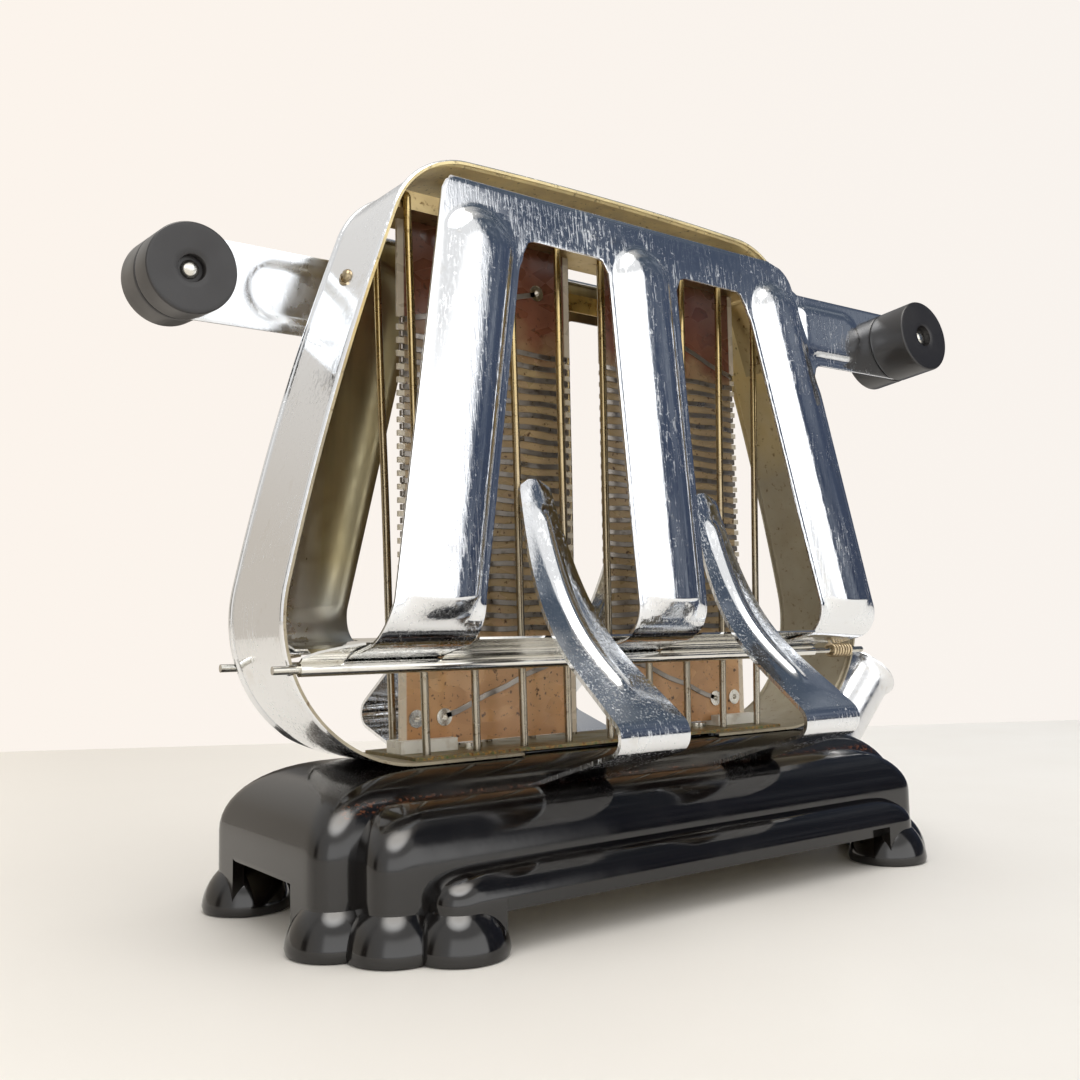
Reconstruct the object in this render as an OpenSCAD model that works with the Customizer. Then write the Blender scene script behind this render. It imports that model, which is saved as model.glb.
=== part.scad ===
// Drop side toaster: a hoop of chromed strip on a moulded base, two hinged doors, two wound mica cards.
// Millimetres. Origin at the middle of the footprint on the table, +X towards the inlet, -Y front, +Z up.

/* [Base] */
// Height of the moulded base
base_top = 35; // [33:0.5:38]
// Wall of the moulding
wall = 2.8; // [2:0.1:4]
// Half length and half depth of the long middle bar
long_bar = [96, 30.4]; // [20:0.1:110]
// Half length and half depth of the second bar
second_bar = [88.3, 41.8]; // [20:0.1:110]
// Half length and half depth of the short outer bar
outer_bar = [77.7, 49.6]; // [20:0.1:110]
// Height of the second bar
second_top = 29.5; // [24:0.5:32]
// Height of the outer bar
outer_top = 17.3; // [14:0.1:20]
// Radius of a toe on the table
toe_radius = 10.64; // [8:0.1:12]
// Height of a toe
toe_height = 12; // [10:0.5:14]
// Lower edge of the skirt between the legs
skirt_edge = 10.7; // [6:0.1:12]
// Half width of the opening between the legs, front and rear
leg_gap = 63.5; // [50:0.5:66]

/* [Frame band] */
// Half depth of the band
band_half = 15.35; // [12:0.05:18]
// Thickness of the band
band_sheet = 0.7; // [0.5:0.1:1.5]
// Width of the raised edge bead
bead_width = 2; // [1:0.1:3]
// Height of the raised edge bead
bead_height = 0.6; // [0.3:0.1:1]
// Radius of the lower bends
lower_radius = 34; // [30:0.5:38]
// Where the lower bends start
lower_start = 63.4; // [60:0.1:66]
// Radius of the long bowed flanks
flank_radius = 706; // [500:1:900]
// Straight part above each flank
flank_straight = 8.2; // [6:0.1:10]
// Radius of the upper corners
corner_radius = 23; // [20:0.5:26]
// Inner end of each foot of the band
foot_end = 34; // [30:0.5:38]
// Height of the slotted screws on the flanks
flank_screw = 152.3; // [148:0.1:156]

/* [Heating cards] */
// Inner edge of a card
card_inner = 5.6; // [4:0.1:8]
// Outer edge of a card
card_outer = 60.5; // [56:0.1:62]
// Thickness of a card
card_sheet = 0.8; // [0.5:0.1:1]
// Lower edge of a card
card_low = 38; // [37.8:0.1:40]
// Loops of ribbon on a card
loops = 24; // [12:1:24]
// Distance from loop to loop
loop_pitch = 3.375; // [3:0.025:3.5]
// Height of the lowest full loop
first_loop = 63; // [60:0.5:66]
// Width of the ribbon
ribbon_width = 1.4; // [1:0.1:1.8]
// Thickness of the ribbon
ribbon_sheet = 0.3; // [0.2:0.05:0.4]

/* [Guard wires] */
// Diameter of a guard wire
wire_size = 2; // [1.6:0.1:2.4]
// Wires in a row
wires = 9; // [7:1:9]
// Distance of a row from the middle plane
wire_row = 8.1; // [7.8:0.1:9]
// Distance from wire to wire at the sole plate
pitch_low = 14.4; // [13:0.1:14.6]
// Distance from wire to wire at the top channel
pitch_high = 15.5; // [14.4:0.1:15.6]

/* [Doors] */
// Height of the hinge rods
hinge_height = 58; // [56:0.5:60]
// Distance of a hinge rod from the middle plane
hinge_depth = 15; // [14:0.1:15.3]
// Lean of a closed door towards the frame, degrees
door_lean = 5.65; // [4:0.05:7]
// Thickness of the door sheet
door_sheet = 0.7; // [0.5:0.1:1]
// Distance of the door sheet from its hinge
door_offset = 20.1; // [19:0.1:22]
// Length of the door from the hinge to its upper edge
door_length = 113.6; // [110:0.1:118]
// Height of the windows above the hinge
window_top = 102; // [98:0.5:104]
// Half width of the middle slat
middle_slat = 11.8; // [11:0.1:13]
// Half chord of a raised channel
channel_half = 9.5; // [8:0.1:10]
// Height of a raised channel
channel_rise = 3.3; // [2:0.1:4]
// Lower and upper edge of the knob arm above the hinge
arm_edges = [84.3, 105.5]; // [80:0.1:110]
// Outward turn of the knob arm, degrees
arm_turn = 1.5; // [0:0.1:5]
// Radius of a hinge rod
rod_radius = 0.95; // [0.8:0.05:1.2]
// Bore radius of the hinge tube
tube_bore = 1; // [0.9:0.05:1.3]
// Outer radius of the hinge tube
tube_radius = 1.6; // [1.4:0.05:1.8]

/* [Knobs] */
// Distance of a knob from the middle
knob_x = 106.1; // [104:0.1:108]
// Radius of a knob
knob_radius = 11.07; // [10:0.01:12]
// Thickness of the outer disc
outer_disc = 12.1; // [6:0.1:14]
// Thickness of the inner disc
inner_disc = 9.4; // [6:0.1:12]
// Radius of the rivet
rivet_radius = 1.6; // [1.2:0.1:2.2]

/* [Springs] */
// Curls of a door spring
curls = 7; // [5:1:7]
// Radius of the spring wire
spring_wire = 0.4; // [0.3:0.05:0.5]
// Radius of the spring coil
spring_coil = 1.7; // [1.6:0.05:1.8]

/* [Fingers] */
// Distance of a finger from the middle
finger_x = 30; // [28:0.5:32]
// Width of a finger at its tip
finger_tip = 9; // [7:0.5:12]
// Width of a finger at its fold
finger_width = 20.4; // [18:0.1:21]
// Thickness of a finger
finger_sheet = 1; // [0.8:0.1:1.2]
// Fall of the finger's tail towards the base, degrees
tail_fall = 16; // [14:0.5:18]

/* [Inlet] */
// Middle of the collar's rim, distance from the middle and height
rim_place = [109.5, 50.4]; // [40:0.1:112]
// Rise of the inlet axis, degrees
inlet_rise = 45; // [40:1:50]
// Half distance between the centres of the collar's round ends
collar_half = 8; // [7:0.1:9]
// Outer radius of the collar's round ends
collar_radius = 9.5; // [9:0.1:10]
// Radius of an inlet pin
pin_radius = 3; // [2.5:0.1:3.2]
// Half distance between the inlet pins
pin_half = 9.5; // [9:0.1:10]

/* [Hidden] */
leg_end = 16;
toes = [[89.35, 23.8], [81.67, 35.18], [71.02, 42.92]];
pad_half = [33, 11];
cover_low = 12.2;
cover_top = 13.4;
cover_screw = [58, 32];
vent = [3, 20];
vent_pitch = 12;
finger_screw_y = 15.5;
finger_flat = 27.2;
tail_entry = [-26.6, 29.4];
bolt_x = 40;
bolt_radius = 1.9;
bolt_hole = 2;
nut_low = 29.4;
strip_x = 55;
plate_low = base_top + band_sheet;
plate_top = plate_low + 0.8;
plate_half = 12.4;
channel_web = 170.3;
channel_wall = 0.8;
flange_out = 7.05;
flange_top = 175;
tip_height = 173.5;
wire_bend = 1.3;
wire_tip = 2.9;
card_tabs = [14, 42];
eyelet_height = 44.5;
rivet_height = 158;
rivet_x = 17;
lead_eyelet = 48;
eyelet_places = [[lead_eyelet, eyelet_height], [56, eyelet_height], [rivet_x, rivet_height]];
door_out = door_offset + door_sheet / 2;
door_in = door_offset - door_sheet / 2;
channel_radius = (pow(channel_half, 2) + pow(channel_rise, 2)) / (2 * channel_rise);
channel_centre = door_out + channel_rise - channel_radius;
slat_side = 82.9;
slat_slope = 0.191;
gap_side = 59.9;
gap_slope = 0.2;
foot_height = 12.5;
crease_tilt = 52;
curl_radius = 9;
ring_bore = 1.65;
ring_radius = 2.3;
rod_end = 99.7;
tube_left = 93.6;
tube_right = 75.8;
roll_radius = 0.9;
crease_x = 66;
arm_reach = (knob_x - crease_x) / cos(arm_turn);
arm_middle = (arm_edges[0] + arm_edges[1]) / 2;
arm_half = (arm_edges[1] - arm_edges[0]) / 2;
panel_half = 7.4;
panel_end = 16;
knob_recess = 2.6;
pad_depth = 36;
pin_tip = 5;
pin_end = 42;
pin_stub = 2;
pin_seat = pin_radius - 0.2;
insulator_face = 26;
ear_y = 21;
flange_radius = 10.2;

function arc(c, r, from, to, n) =
  [for (i = [0:n]) let (a = from + (to - from) * i / n) [c[0] + r * cos(a), c[1] + r * sin(a)]];
function unit(v) = v / norm(v);
function last(p) = len(p) - 1;
function back(p) = [for (i = [last(p):-1:0]) p[i]];
function ahead(p, i) = unit(p[min(i + 1, last(p))] - p[max(i - 1, 0)]);
function beside(p, d) = [for (i = [0:last(p)]) let (t = ahead(p, i)) p[i] + d * [-t[1], t[0]]];
function strip(p, t) = concat(beside(p, t / 2), back(beside(p, -t / 2)));

// Outline of the band, seen from the front, moved outwards by off
centre_1 = [lower_start, base_top + lower_radius];
centre_2 = centre_1 + (lower_radius - flank_radius) * [cos(13), sin(13)];
flank_end = centre_2 + flank_radius * [cos(20), sin(20)];
corner_start = flank_end + flank_straight * [-sin(20), cos(20)];
centre_3 = corner_start - corner_radius * [cos(20), sin(20)];
corner_end = centre_3 + corner_radius * [cos(87.8), sin(87.8)];
crown_radius = corner_end[0] / cos(87.8);
centre_4 = [0, corner_end[1] - crown_radius * sin(87.8)];
function band_right(off, from) = concat(
  arc(centre_1, lower_radius + off, from, 13, 10),
  arc(centre_2, flank_radius + off, 14, 20, 6),
  arc(centre_3, corner_radius + off, 20, 87.8, 9),
  arc(centre_4, crown_radius + off, 88.4, 90, 3));
function mirrored(p) = [for (i = [last(p):-1:0]) if (p[i][0] > 0.001) [-p[i][0], p[i][1]]];
function band_line(off, from) = let (r = band_right(off, from)) concat(r, mirrored(r));

// Height of the band's outer face above a flank, as an angle about the flank's centre
flank_angle = asin((flank_screw - centre_2[1]) / flank_radius);
flank_place = centre_2 + flank_radius * [cos(flank_angle), sin(flank_angle)];

module along_y(depth) {
  rotate([90, 0, 0]) linear_extrude(depth, center = true) children();
}

module along_x(from, to) {
  translate([from, 0, 0]) rotate([90, 0, 90]) linear_extrude(to - from) children();
}

module turned() {
  rotate([0, 0, 180]) children();
}

module rounded(half, r) {
  square([2 * half[0] - 2 * r, 2 * half[1]], center = true);
  square([2 * half[0], 2 * half[1] - 2 * r], center = true);
  for (x = [-1, 1], y = [-1, 1]) {
    translate([x * (half[0] - r), y * (half[1] - r)]) circle(r, $fn = 32);
  }
}

// One bar of the base: a skin of rounded rectangles, its upper edges an elliptical arc
module tier(half, top, side, rise, corner, inset, foot) {
  steps = inset > 0 ? 4 : 7;
  bits = inset > 0 ? 3 : 6;
  count = 4 * (bits + 1);
  points = [for (i = [-1:steps], q = [0:3], j = [0:bits]) let (
    a = 90 * max(i, 0) / steps,
    r = max(corner * (1 + 0.36 * (1 - cos(a))) - inset, 3),
    turn = 90 * q + 90 * j / bits,
    sx = (q == 0 || q == 3) ? 1 : -1,
    sy = q < 2 ? 1 : -1)
    [sx * (half[0] - inset - side[0] * (1 - cos(a)) - r) + r * cos(turn),
      sy * (half[1] - inset - side[1] * (1 - cos(a)) - r) + r * sin(turn),
      i < 0 ? foot : top - inset - rise + rise * sin(a)]];
  quads = [for (i = [0:steps], j = [0:count - 1]) let (a = i * count + j, b = i * count + (j + 1) % count)
    [a, b, b + count, a + count]];
  polyhedron(points, concat([[for (j = [0:count - 1]) j]],
    [[for (j = [count - 1:-1:0]) (steps + 1) * count + j]],
    [for (f = quads, t = [[f[0], f[2], f[1]], [f[0], f[3], f[2]]]) t]), convexity = 4);
}

module tiers(inset, foot) {
  tier(long_bar, base_top, [20, 18.4], 16, 6.6, inset, foot);
  tier(second_bar, second_top, [13, 13], 12, 6.6, inset, foot);
  tier(outer_bar, outer_top, [7.5, 7.5], 6.6, 6.6, inset, foot);
}

module toe() {
  rotate_extrude($fn = 48) polygon(concat([[0, 0]],
    [for (i = [0:8]) [toe_radius * cos(90 * i / 8), toe_height * sin(90 * i / 8)]]));
}

module four_corners(p) {
  for (x = [-1, 1], y = [-1, 1]) {
    translate([x * p[0], y * p[1], 0]) children();
  }
}

module finger_places() {
  for (a = [0, 180], x = [-1, 1]) {
    rotate([0, 0, a]) translate([x * finger_x, 0, 0]) children();
  }
}

// Outward along the inlet is local +Z, zero at the rim; local Y is the long way of the collar
module inlet_frame() {
  translate([rim_place[0], 0, rim_place[1]]) rotate([0, 90 - inlet_rise, 0]) children();
}

module stadium(half, r) {
  translate([0, half]) circle(r, $fn = 48);
  translate([0, -half]) circle(r, $fn = 48);
  square([2 * r, 2 * half], center = true);
}

module ear_outline(r, ear) {
  stadium(collar_half, r);
  square([2 * ear, 2 * ear_y], center = true);
  for (y = [-ear_y, ear_y]) translate([0, y]) circle(ear, $fn = 32);
}

module ears(r, hole) {
  difference() {
    ear_outline(r, 3.2);
    for (y = [-ear_y, ear_y]) translate([0, y]) circle(hole, $fn = 24);
  }
}

module base_shell() {
  color([0.06, 0.045, 0.04]) difference() {
    union() {
      difference() {
        tiers(0, 0);
        tiers(wall, -1);
        translate([-leg_gap, -60, -1]) cube([2 * leg_gap, 120, skirt_edge + 1]);
        translate([-110, -leg_end, -1]) cube([220, 2 * leg_end, toe_height + 1]);
      }
      for (t = toes) four_corners(t) toe();
      four_corners(cover_screw) translate([0, 0, cover_top]) cylinder(r = 4, h = 27 - cover_top);
      finger_places() translate([0, -finger_screw_y, finger_flat + finger_sheet / 2])
        cylinder(r = 4.5, h = 32.8 - finger_flat - finger_sheet / 2);
      translate([-pad_half[0], -pad_half[1], base_top - 1])
        cube([2 * pad_half[0], 2 * pad_half[1], plate_low - base_top + 1]);
      intersection() {
        inlet_frame() translate([0, 0, -pad_depth]) linear_extrude(4) ears(11, 1.3);
        translate([60, -40, 14]) cube([34.5, 80, 19.5]);
      }
    }
    four_corners(cover_screw) translate([0, 0, cover_low]) cylinder(r = 1.55, h = 11, $fn = 24);
    finger_places() {
      translate([0, tail_entry[0], tail_entry[1]]) rotate([-tail_fall, 0, 0])
        translate([-10.6, -3.5, -0.75]) cube([21.2, 12, 1.5]);
      translate([0, -finger_screw_y, 24]) cylinder(r = 1.35, h = 9, $fn = 24);
    }
    for (x = [-bolt_x, bolt_x]) translate([x, 0, 28]) cylinder(r = bolt_hole, h = 10, $fn = 32);
    for (x = [-strip_x, strip_x]) translate([x - 2.8, -0.4, 28]) cube([5.6, 2.2, 10]);
    inlet_frame() {
      translate([0, 0, -38]) linear_extrude(14) stadium(collar_half, collar_radius + 0.15);
      translate([0, 0, -pad_depth - 4]) linear_extrude(4) ear_outline(flange_radius + 0.2, 3.4);
      for (y = [-ear_y, ear_y]) translate([0, y, -38]) cylinder(r = 1.3, h = 5.6, $fn = 24);
    }
  }
}

module base_cover() {
  color([0.2, 0.19, 0.18]) difference() {
    translate([0, 0, cover_low]) linear_extrude(cover_top - cover_low) {
      rounded(long_bar - [3.4, 3.4], 4.5);
      rounded(second_bar - [3.4, 3.4], 4.5);
      rounded(outer_bar - [6.8, 6.8], 4.5);
    }
    four_corners(cover_screw) translate([0, 0, cover_low - 1]) cylinder(r = 1.8, h = 4, $fn = 24);
    for (i = [-2:2]) translate([i * vent_pitch - vent[0] / 2, -vent[1] / 2, cover_low - 1])
      cube([vent[0], vent[1], 4]);
  }
}

// Slotted screw that stands on z = 0, its shank going down
module screw(head, head_high, shank, length) {
  difference() {
    cylinder(r = head, h = head_high, $fn = 32);
    translate([-head - 1, -0.4, head_high * 0.5]) cube([2 * head + 2, 0.8, head_high]);
  }
  translate([0, 0, -length]) cylinder(r = shank, h = length + 0.1, $fn = 24);
}

module cover_screws() {
  color([0.7, 0.7, 0.68]) four_corners(cover_screw)
    translate([0, 0, cover_low]) rotate([180, 0, 0]) screw(3, 1.6, 1.45, 10);
}

module sole_plate() {
  color([0.42, 0.4, 0.33]) difference() {
    translate([-lower_start + 0.2, -plate_half, plate_low])
      cube([2 * lower_start - 0.4, 2 * plate_half, plate_top - plate_low]);
    for (i = [0:wires - 1], s = [-1, 1]) {
      translate([(i - (wires - 1) / 2) * pitch_low, s * wire_row, plate_low - 1])
        cylinder(r = wire_size / 2 + 0.1, h = 3, $fn = 24);
    }
    for (x = [-bolt_x, bolt_x]) translate([x, 0, plate_low - 1]) cylinder(r = bolt_hole, h = 3, $fn = 32);
    for (x = [-strip_x, strip_x]) translate([x - 2.6, -0.2, plate_low - 1]) cube([5.2, 1.7, 3]);
  }
}

module frame_band() {
  rod_gap = rod_radius + 0.1;
  color([0.78, 0.79, 0.8]) difference() {
    union() {
      along_y(2 * band_half) polygon(concat([[foot_end, base_top]], band_line(0, -90),
        [[-foot_end, base_top], [-foot_end, plate_low]], back(band_line(-band_sheet, -90)),
        [[foot_end, plate_low]]));
      for (s = [-1, 1]) {
        translate([0, s * (band_half - bead_width / 2), 0]) along_y(bead_width)
          polygon(concat(band_line(bead_height, -66), back(band_line(-0.2, -66))));
      }
    }
    for (x = [-1, 1], y = [-1, 1]) {
      translate([x * 95 - 6, y * hinge_depth, hinge_height]) rotate([0, 90, 0])
        cylinder(r = rod_gap, h = 12, $fn = 32);
      translate([x * 95 - 6, y * (hinge_depth + 1) - 1, hinge_height - rod_gap])
        cube([12, 2, 2 * rod_gap]);
    }
    for (a = [0, 180]) {
      rotate([0, 0, a]) translate([flank_place[0], 0, flank_place[1]]) rotate([0, 90 - flank_angle, 0])
        translate([0, 0, -3]) cylinder(r = 1.6, h = 6, $fn = 24);
    }
    for (x = [-bolt_x, bolt_x]) translate([x, 0, base_top - 1]) cylinder(r = bolt_hole, h = 3, $fn = 32);
    for (x = [-strip_x, strip_x]) translate([x - 2.6, -0.2, base_top - 1]) cube([5.2, 1.7, 3]);
  }
}

module frame_screws() {
  color([0.75, 0.75, 0.75]) for (a = [0, 180]) {
    rotate([0, 0, a]) translate([flank_place[0], 0, flank_place[1]])
      rotate([0, 90 - flank_angle, 0]) rotate([0, 0, 35]) screw(2.2, 1.3, 1.45, 4);
  }
}

module frame_bolts() {
  color([0.6, 0.6, 0.58]) for (x = [-bolt_x, bolt_x]) {
    translate([x, 0, plate_top]) screw(3.2, 1.2, bolt_radius, plate_top - nut_low + 0.8);
  }
}

module frame_nuts() {
  color([0.6, 0.6, 0.58]) for (x = [-bolt_x, bolt_x]) translate([x, 0, nut_low]) difference() {
    cylinder(r = 3.7, h = base_top - wall - nut_low, $fn = 6);
    translate([0, 0, -1]) cylinder(r = bolt_radius + 0.05, h = 6, $fn = 32);
  }
}

module top_channel() {
  // The web is bent down along each flank and held there by the flank screw
  bend = 3;
  inner = band_sheet + channel_wall / 2 + 0.05;
  low = centre_2 + (flank_radius - inner) * [cos(flank_angle - 0.35), sin(flank_angle - 0.35)];
  high = corner_start - inner * [cos(20), sin(20)];
  web = channel_web + channel_wall / 2;
  turn = [high[0] + (high[1] - (web - bend)) * tan(20) - 0.6 - bend, web - bend];
  half = concat([low, high], arc(turn, bend, 20, 90, 5));
  color([0.5, 0.49, 0.45]) difference() {
    union() {
      along_y(2 * flange_out) polygon(strip(concat(half, mirrored(half)), channel_wall));
      for (s = [-1, 1]) {
        translate([0, s * (flange_out - channel_wall / 2), 0]) along_y(channel_wall)
          polygon([[-64, channel_web + 0.1], [64, channel_web + 0.1], [63.4, flange_top - 3],
            [61.9, flange_top], [-61.9, flange_top], [-63.4, flange_top - 3]]);
      }
    }
    for (i = [0:wires - 1], s = [-1, 1]) {
      translate([(i - (wires - 1) / 2) * pitch_high, s * flange_out, tip_height]) rotate([90, 0, 0])
        cylinder(r = wire_size / 2 + 0.1, h = 4, center = true, $fn = 24);
    }
    for (x = card_tabs, s = [-1, 1]) {
      translate([s * (x + 5) - 5.3, -0.6, channel_web - 1]) cube([10.6, 1.2, 4]);
    }
    for (a = [0, 180]) {
      rotate([0, 0, a]) translate([flank_place[0], 0, flank_place[1]]) rotate([0, 90 - flank_angle, 0])
        translate([0, 0, -4]) cylinder(r = 1.55, h = 6, $fn = 24);
    }
  }
}

// A mica card on the +X side
module card() {
  notch = 1.8;
  difference() {
    along_y(card_sheet) difference() {
      union() {
        translate([card_inner, card_low]) square([card_outer - card_inner, channel_web - card_low - 0.1]);
        for (x = card_tabs) translate([x, channel_web - 1]) square([10, 3]);
      }
      for (k = [0:loops]) {
        translate([card_inner - 1, first_loop + (k - 1) * loop_pitch - 1]) square([notch + 1, 2]);
        translate([card_outer - notch, first_loop + k * loop_pitch - 1]) square([notch + 1, 2]);
      }
    }
    for (p = eyelet_places) {
      translate([p[0], 0, p[1]]) rotate([90, 0, 0]) cylinder(r = 1.25, h = 4, center = true, $fn = 24);
    }
  }
}

module card_right() {
  color([0.5, 0.36, 0.24]) card();
}

module card_left() {
  color([0.5, 0.36, 0.24]) mirror([1, 0, 0]) card();
}

// The ribbon as one tube: [middle, width direction, outward direction] of each of its sections
run_y = card_sheet / 2 + 0.25;
far_x = card_outer - 1.6;
near_x = card_inner + 1.6;
slant = unit([first_loop - loop_pitch - eyelet_height, 0, lead_eyelet - near_x]);
lead_in = [lead_eyelet, -run_y, eyelet_height] + 2.7 * [-slant[2], 0, slant[0]];
top_z = first_loop + loops * loop_pitch;
rise_out = unit([rivet_height - top_z, 0, far_x - rivet_x]);
lead_out = [rivet_x, -run_y, rivet_height] - 2.7 * [-rise_out[2], 0, rise_out[0]];
up = [0, 0, 1];
function wrap_in(z) = [
  [[near_x, -run_y, z], up, [0, -1, 0]],
  [[near_x - 0.75, -0.42, z], up, [-0.8, -0.6, 0]],
  [[near_x - 0.75, 0.42, z], up, [-0.8, 0.6, 0]],
  [[near_x, run_y, z], up, [0, 1, 0]]];
function wrap_out(z) = [
  [[far_x, run_y, z], up, [0, 1, 0]],
  [[far_x + 0.75, 0.42, z], up, [0.8, 0.6, 0]],
  [[far_x + 0.75, -0.42, z], up, [0.8, -0.6, 0]],
  [[far_x, -run_y, z], up, [0, -1, 0]]];
ribbon_path = concat(
  [[lead_in, slant, [0, -1, 0]], [lead_in + 2 * [-slant[2], 0, slant[0]], slant, [0, -1, 0]]],
  [for (k = [0:loops], s = concat(wrap_in(first_loop + (k - 1) * loop_pitch),
    wrap_out(first_loop + k * loop_pitch))) s],
  [[lead_out - 2 * [-rise_out[2], 0, rise_out[0]], rise_out, [0, -1, 0]],
    [lead_out, rise_out, [0, -1, 0]]]);
ribbon_points = [for (s = ribbon_path, i = [0:5])
  s[0] + cos(60 * i) * ribbon_width / 2 * s[1] + sin(60 * i) / sin(60) * ribbon_sheet / 2 * s[2]];

// Sections of sides points each, joined into one closed skin
module skin(points, flip, sides = 6) {
  n = len(points) / sides;
  cells = [for (k = [0:n - 2], i = [0:sides - 1]) let (a = k * sides + i, b = k * sides + (i + 1) % sides)
    flip ? [a, b, b + sides, a + sides] : [a + sides, b + sides, b, a]];
  first = [for (i = [0:sides - 1]) flip ? sides - 1 - i : i];
  final = [for (i = [0:sides - 1]) (n - 1) * sides + (flip ? i : sides - 1 - i)];
  polyhedron(points, concat([first, final],
    [for (f = cells, t = [[f[0], f[1], f[2]], [f[0], f[2], f[3]]]) t]), convexity = 10);
}

module winding() {
  skin(ribbon_points, true);
}

module winding_right() {
  color([0.3, 0.2, 0.14]) winding();
}

module winding_left() {
  color([0.3, 0.2, 0.14]) mirror([1, 0, 0]) winding();
}

module terminal_eyelets() {
  color([0.7, 0.6, 0.38]) for (s = [-1, 1], p = eyelet_places) {
    translate([s * p[0], 0, p[1]]) rotate([90, 0, 0]) difference() {
      union() {
        translate([0, 0, card_sheet / 2]) cylinder(r = 2.2, h = 0.4, $fn = 32);
        translate([0, 0, -1.3]) cylinder(r = 2.2, h = 0.4, $fn = 32);
        translate([0, 0, -1.3]) cylinder(r = 1.2, h = 2, $fn = 32);
      }
      translate([0, 0, -2]) cylinder(r = 0.8, h = 4, $fn = 24);
    }
  }
}

module top_link() {
  color([0.6, 0.56, 0.45]) translate([0, card_sheet / 2 + 0.25, rivet_height]) along_y(0.5) difference() {
    union() {
      square([2 * rivet_x, 5], center = true);
      for (x = [-rivet_x, rivet_x]) translate([x, 0]) circle(2.5, $fn = 32);
    }
    for (x = [-rivet_x, rivet_x]) translate([x, 0]) circle(1.3, $fn = 24);
  }
}

// Strip from the eyelets of a card down into the base and to one inlet pin
module supply_strip(side, pin_side) {
  run = 17.6;
  pin_y = pin_side * pin_half;
  color([0.72, 0.6, 0.4]) union() {
    translate([0, card_sheet / 2 + 0.25, 0]) along_y(0.5) difference() {
      union() {
        translate([side * 52 - 6.3, eyelet_height - 2.4]) square([12.6, 4.8]);
        translate([side * strip_x - 2, run]) square([4, eyelet_height - run]);
      }
      for (i = [0, 1]) translate([side * eyelet_places[i][0], eyelet_height]) circle(1.3, $fn = 24);
    }
    translate([side * strip_x - 2, min(pin_y - 2.5, card_sheet / 2), run])
      cube([4, abs(pin_y) + 2.5 + (pin_side > 0 ? -0.4 : 0.9), 0.5]);
    translate([side * strip_x - 2, pin_y - 2.5, run]) cube([84.4 - side * strip_x, 5, 0.5]);
    inlet_frame() translate([0, pin_y, -pin_end - 0.5]) difference() {
      translate([-3.6, -3.5, 0]) cube([8, 7, 0.5]);
      translate([0, 0, -1]) cylinder(r = 1.6, h = 3, $fn = 24);
    }
  }
}

module supply_strip_right() {
  supply_strip(1, 1);
}

module supply_strip_left() {
  supply_strip(-1, -1);
}

module ceramic_block(side) {
  color([0.9, 0.89, 0.85]) difference() {
    translate([side * 54 - 8, -3.6, plate_top]) cube([16, 7.2, 3]);
    translate([side * 54 - 9, -0.5, card_low - 0.2]) cube([18, 1.6, 4]);
    translate([side * strip_x - 2.3, -0.1, plate_top - 1]) cube([4.6, 1.3, 5]);
  }
}

module ceramic_block_right() {
  ceramic_block(1);
}

module ceramic_block_left() {
  ceramic_block(-1);
}

// Wire k of the front row: straight up from the sole plate, bent inwards at its tip
function wire_skin(k) = let (
  foot = [k * pitch_low, -wire_row, plate_low + 0.05],
  top = [k * pitch_high, -wire_row, tip_height],
  along = unit(top - foot),
  inward = [0, 1, 0],
  across = cross(inward, along),
  places = concat([[foot, 0]],
    [for (a = [0:30:90]) [top + wire_bend * ((sin(a) - 1) * along + (1 - cos(a)) * inward), a]],
    [[top + wire_tip * inward, 90]]))
  [for (p = places, i = [0:11]) p[0] + wire_size / 2 * (cos(30 * i) * across
    + sin(30 * i) * (cos(p[1]) * inward - sin(p[1]) * along))];

module guard_wires() {
  color([0.62, 0.52, 0.3]) for (i = [0:wires - 1]) {
    skin(wire_skin(i - (wires - 1) / 2), false, 12);
  }
}

module guard_wires_front() {
  guard_wires();
}

module guard_wires_rear() {
  turned() guard_wires();
}

module hinge_rod() {
  color([0.7, 0.7, 0.7]) translate([-rod_end, -hinge_depth, hinge_height]) rotate([0, 90, 0])
    cylinder(r = rod_radius, h = 2 * rod_end, $fn = 32);
}

module hinge_rod_front() {
  hinge_rod();
}

module hinge_rod_rear() {
  turned() hinge_rod();
}

// Door frame: hinge at the origin, -Y away from the door's face, +Z up along the door
module door_frame() {
  translate([0, -hinge_depth, hinge_height]) rotate([-door_lean, 0, 0]) children();
}

function slat_edge(s) = slat_side - slat_slope * s;
function gap_edge(s) = gap_side - gap_slope * s;

module door_outline() {
  difference() {
    polygon(concat([[-slat_edge(foot_height), foot_height], [slat_edge(foot_height), foot_height],
      [slat_edge(arm_edges[0]), arm_edges[0]], [crease_x, arm_edges[0]], [crease_x, arm_edges[1]],
      [60.9, arm_edges[1]]], arc([52, door_length - 9], 9, 8, 90, 5),
      arc([-58.6, door_length - 2.5], 2.5, 90, 170, 3)));
    for (s = [-1, 1]) polygon([for (p = concat([[gap_edge(0), 0]],
      arc([gap_edge(window_top) - 4, window_top - 4], 4, 12, 90, 4),
      arc([middle_slat + 4.2, window_top - 4], 4, 90, 180, 4), [[middle_slat - 0.3, 0]])) [s * p[0], p[1]]]);
  }
}

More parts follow.
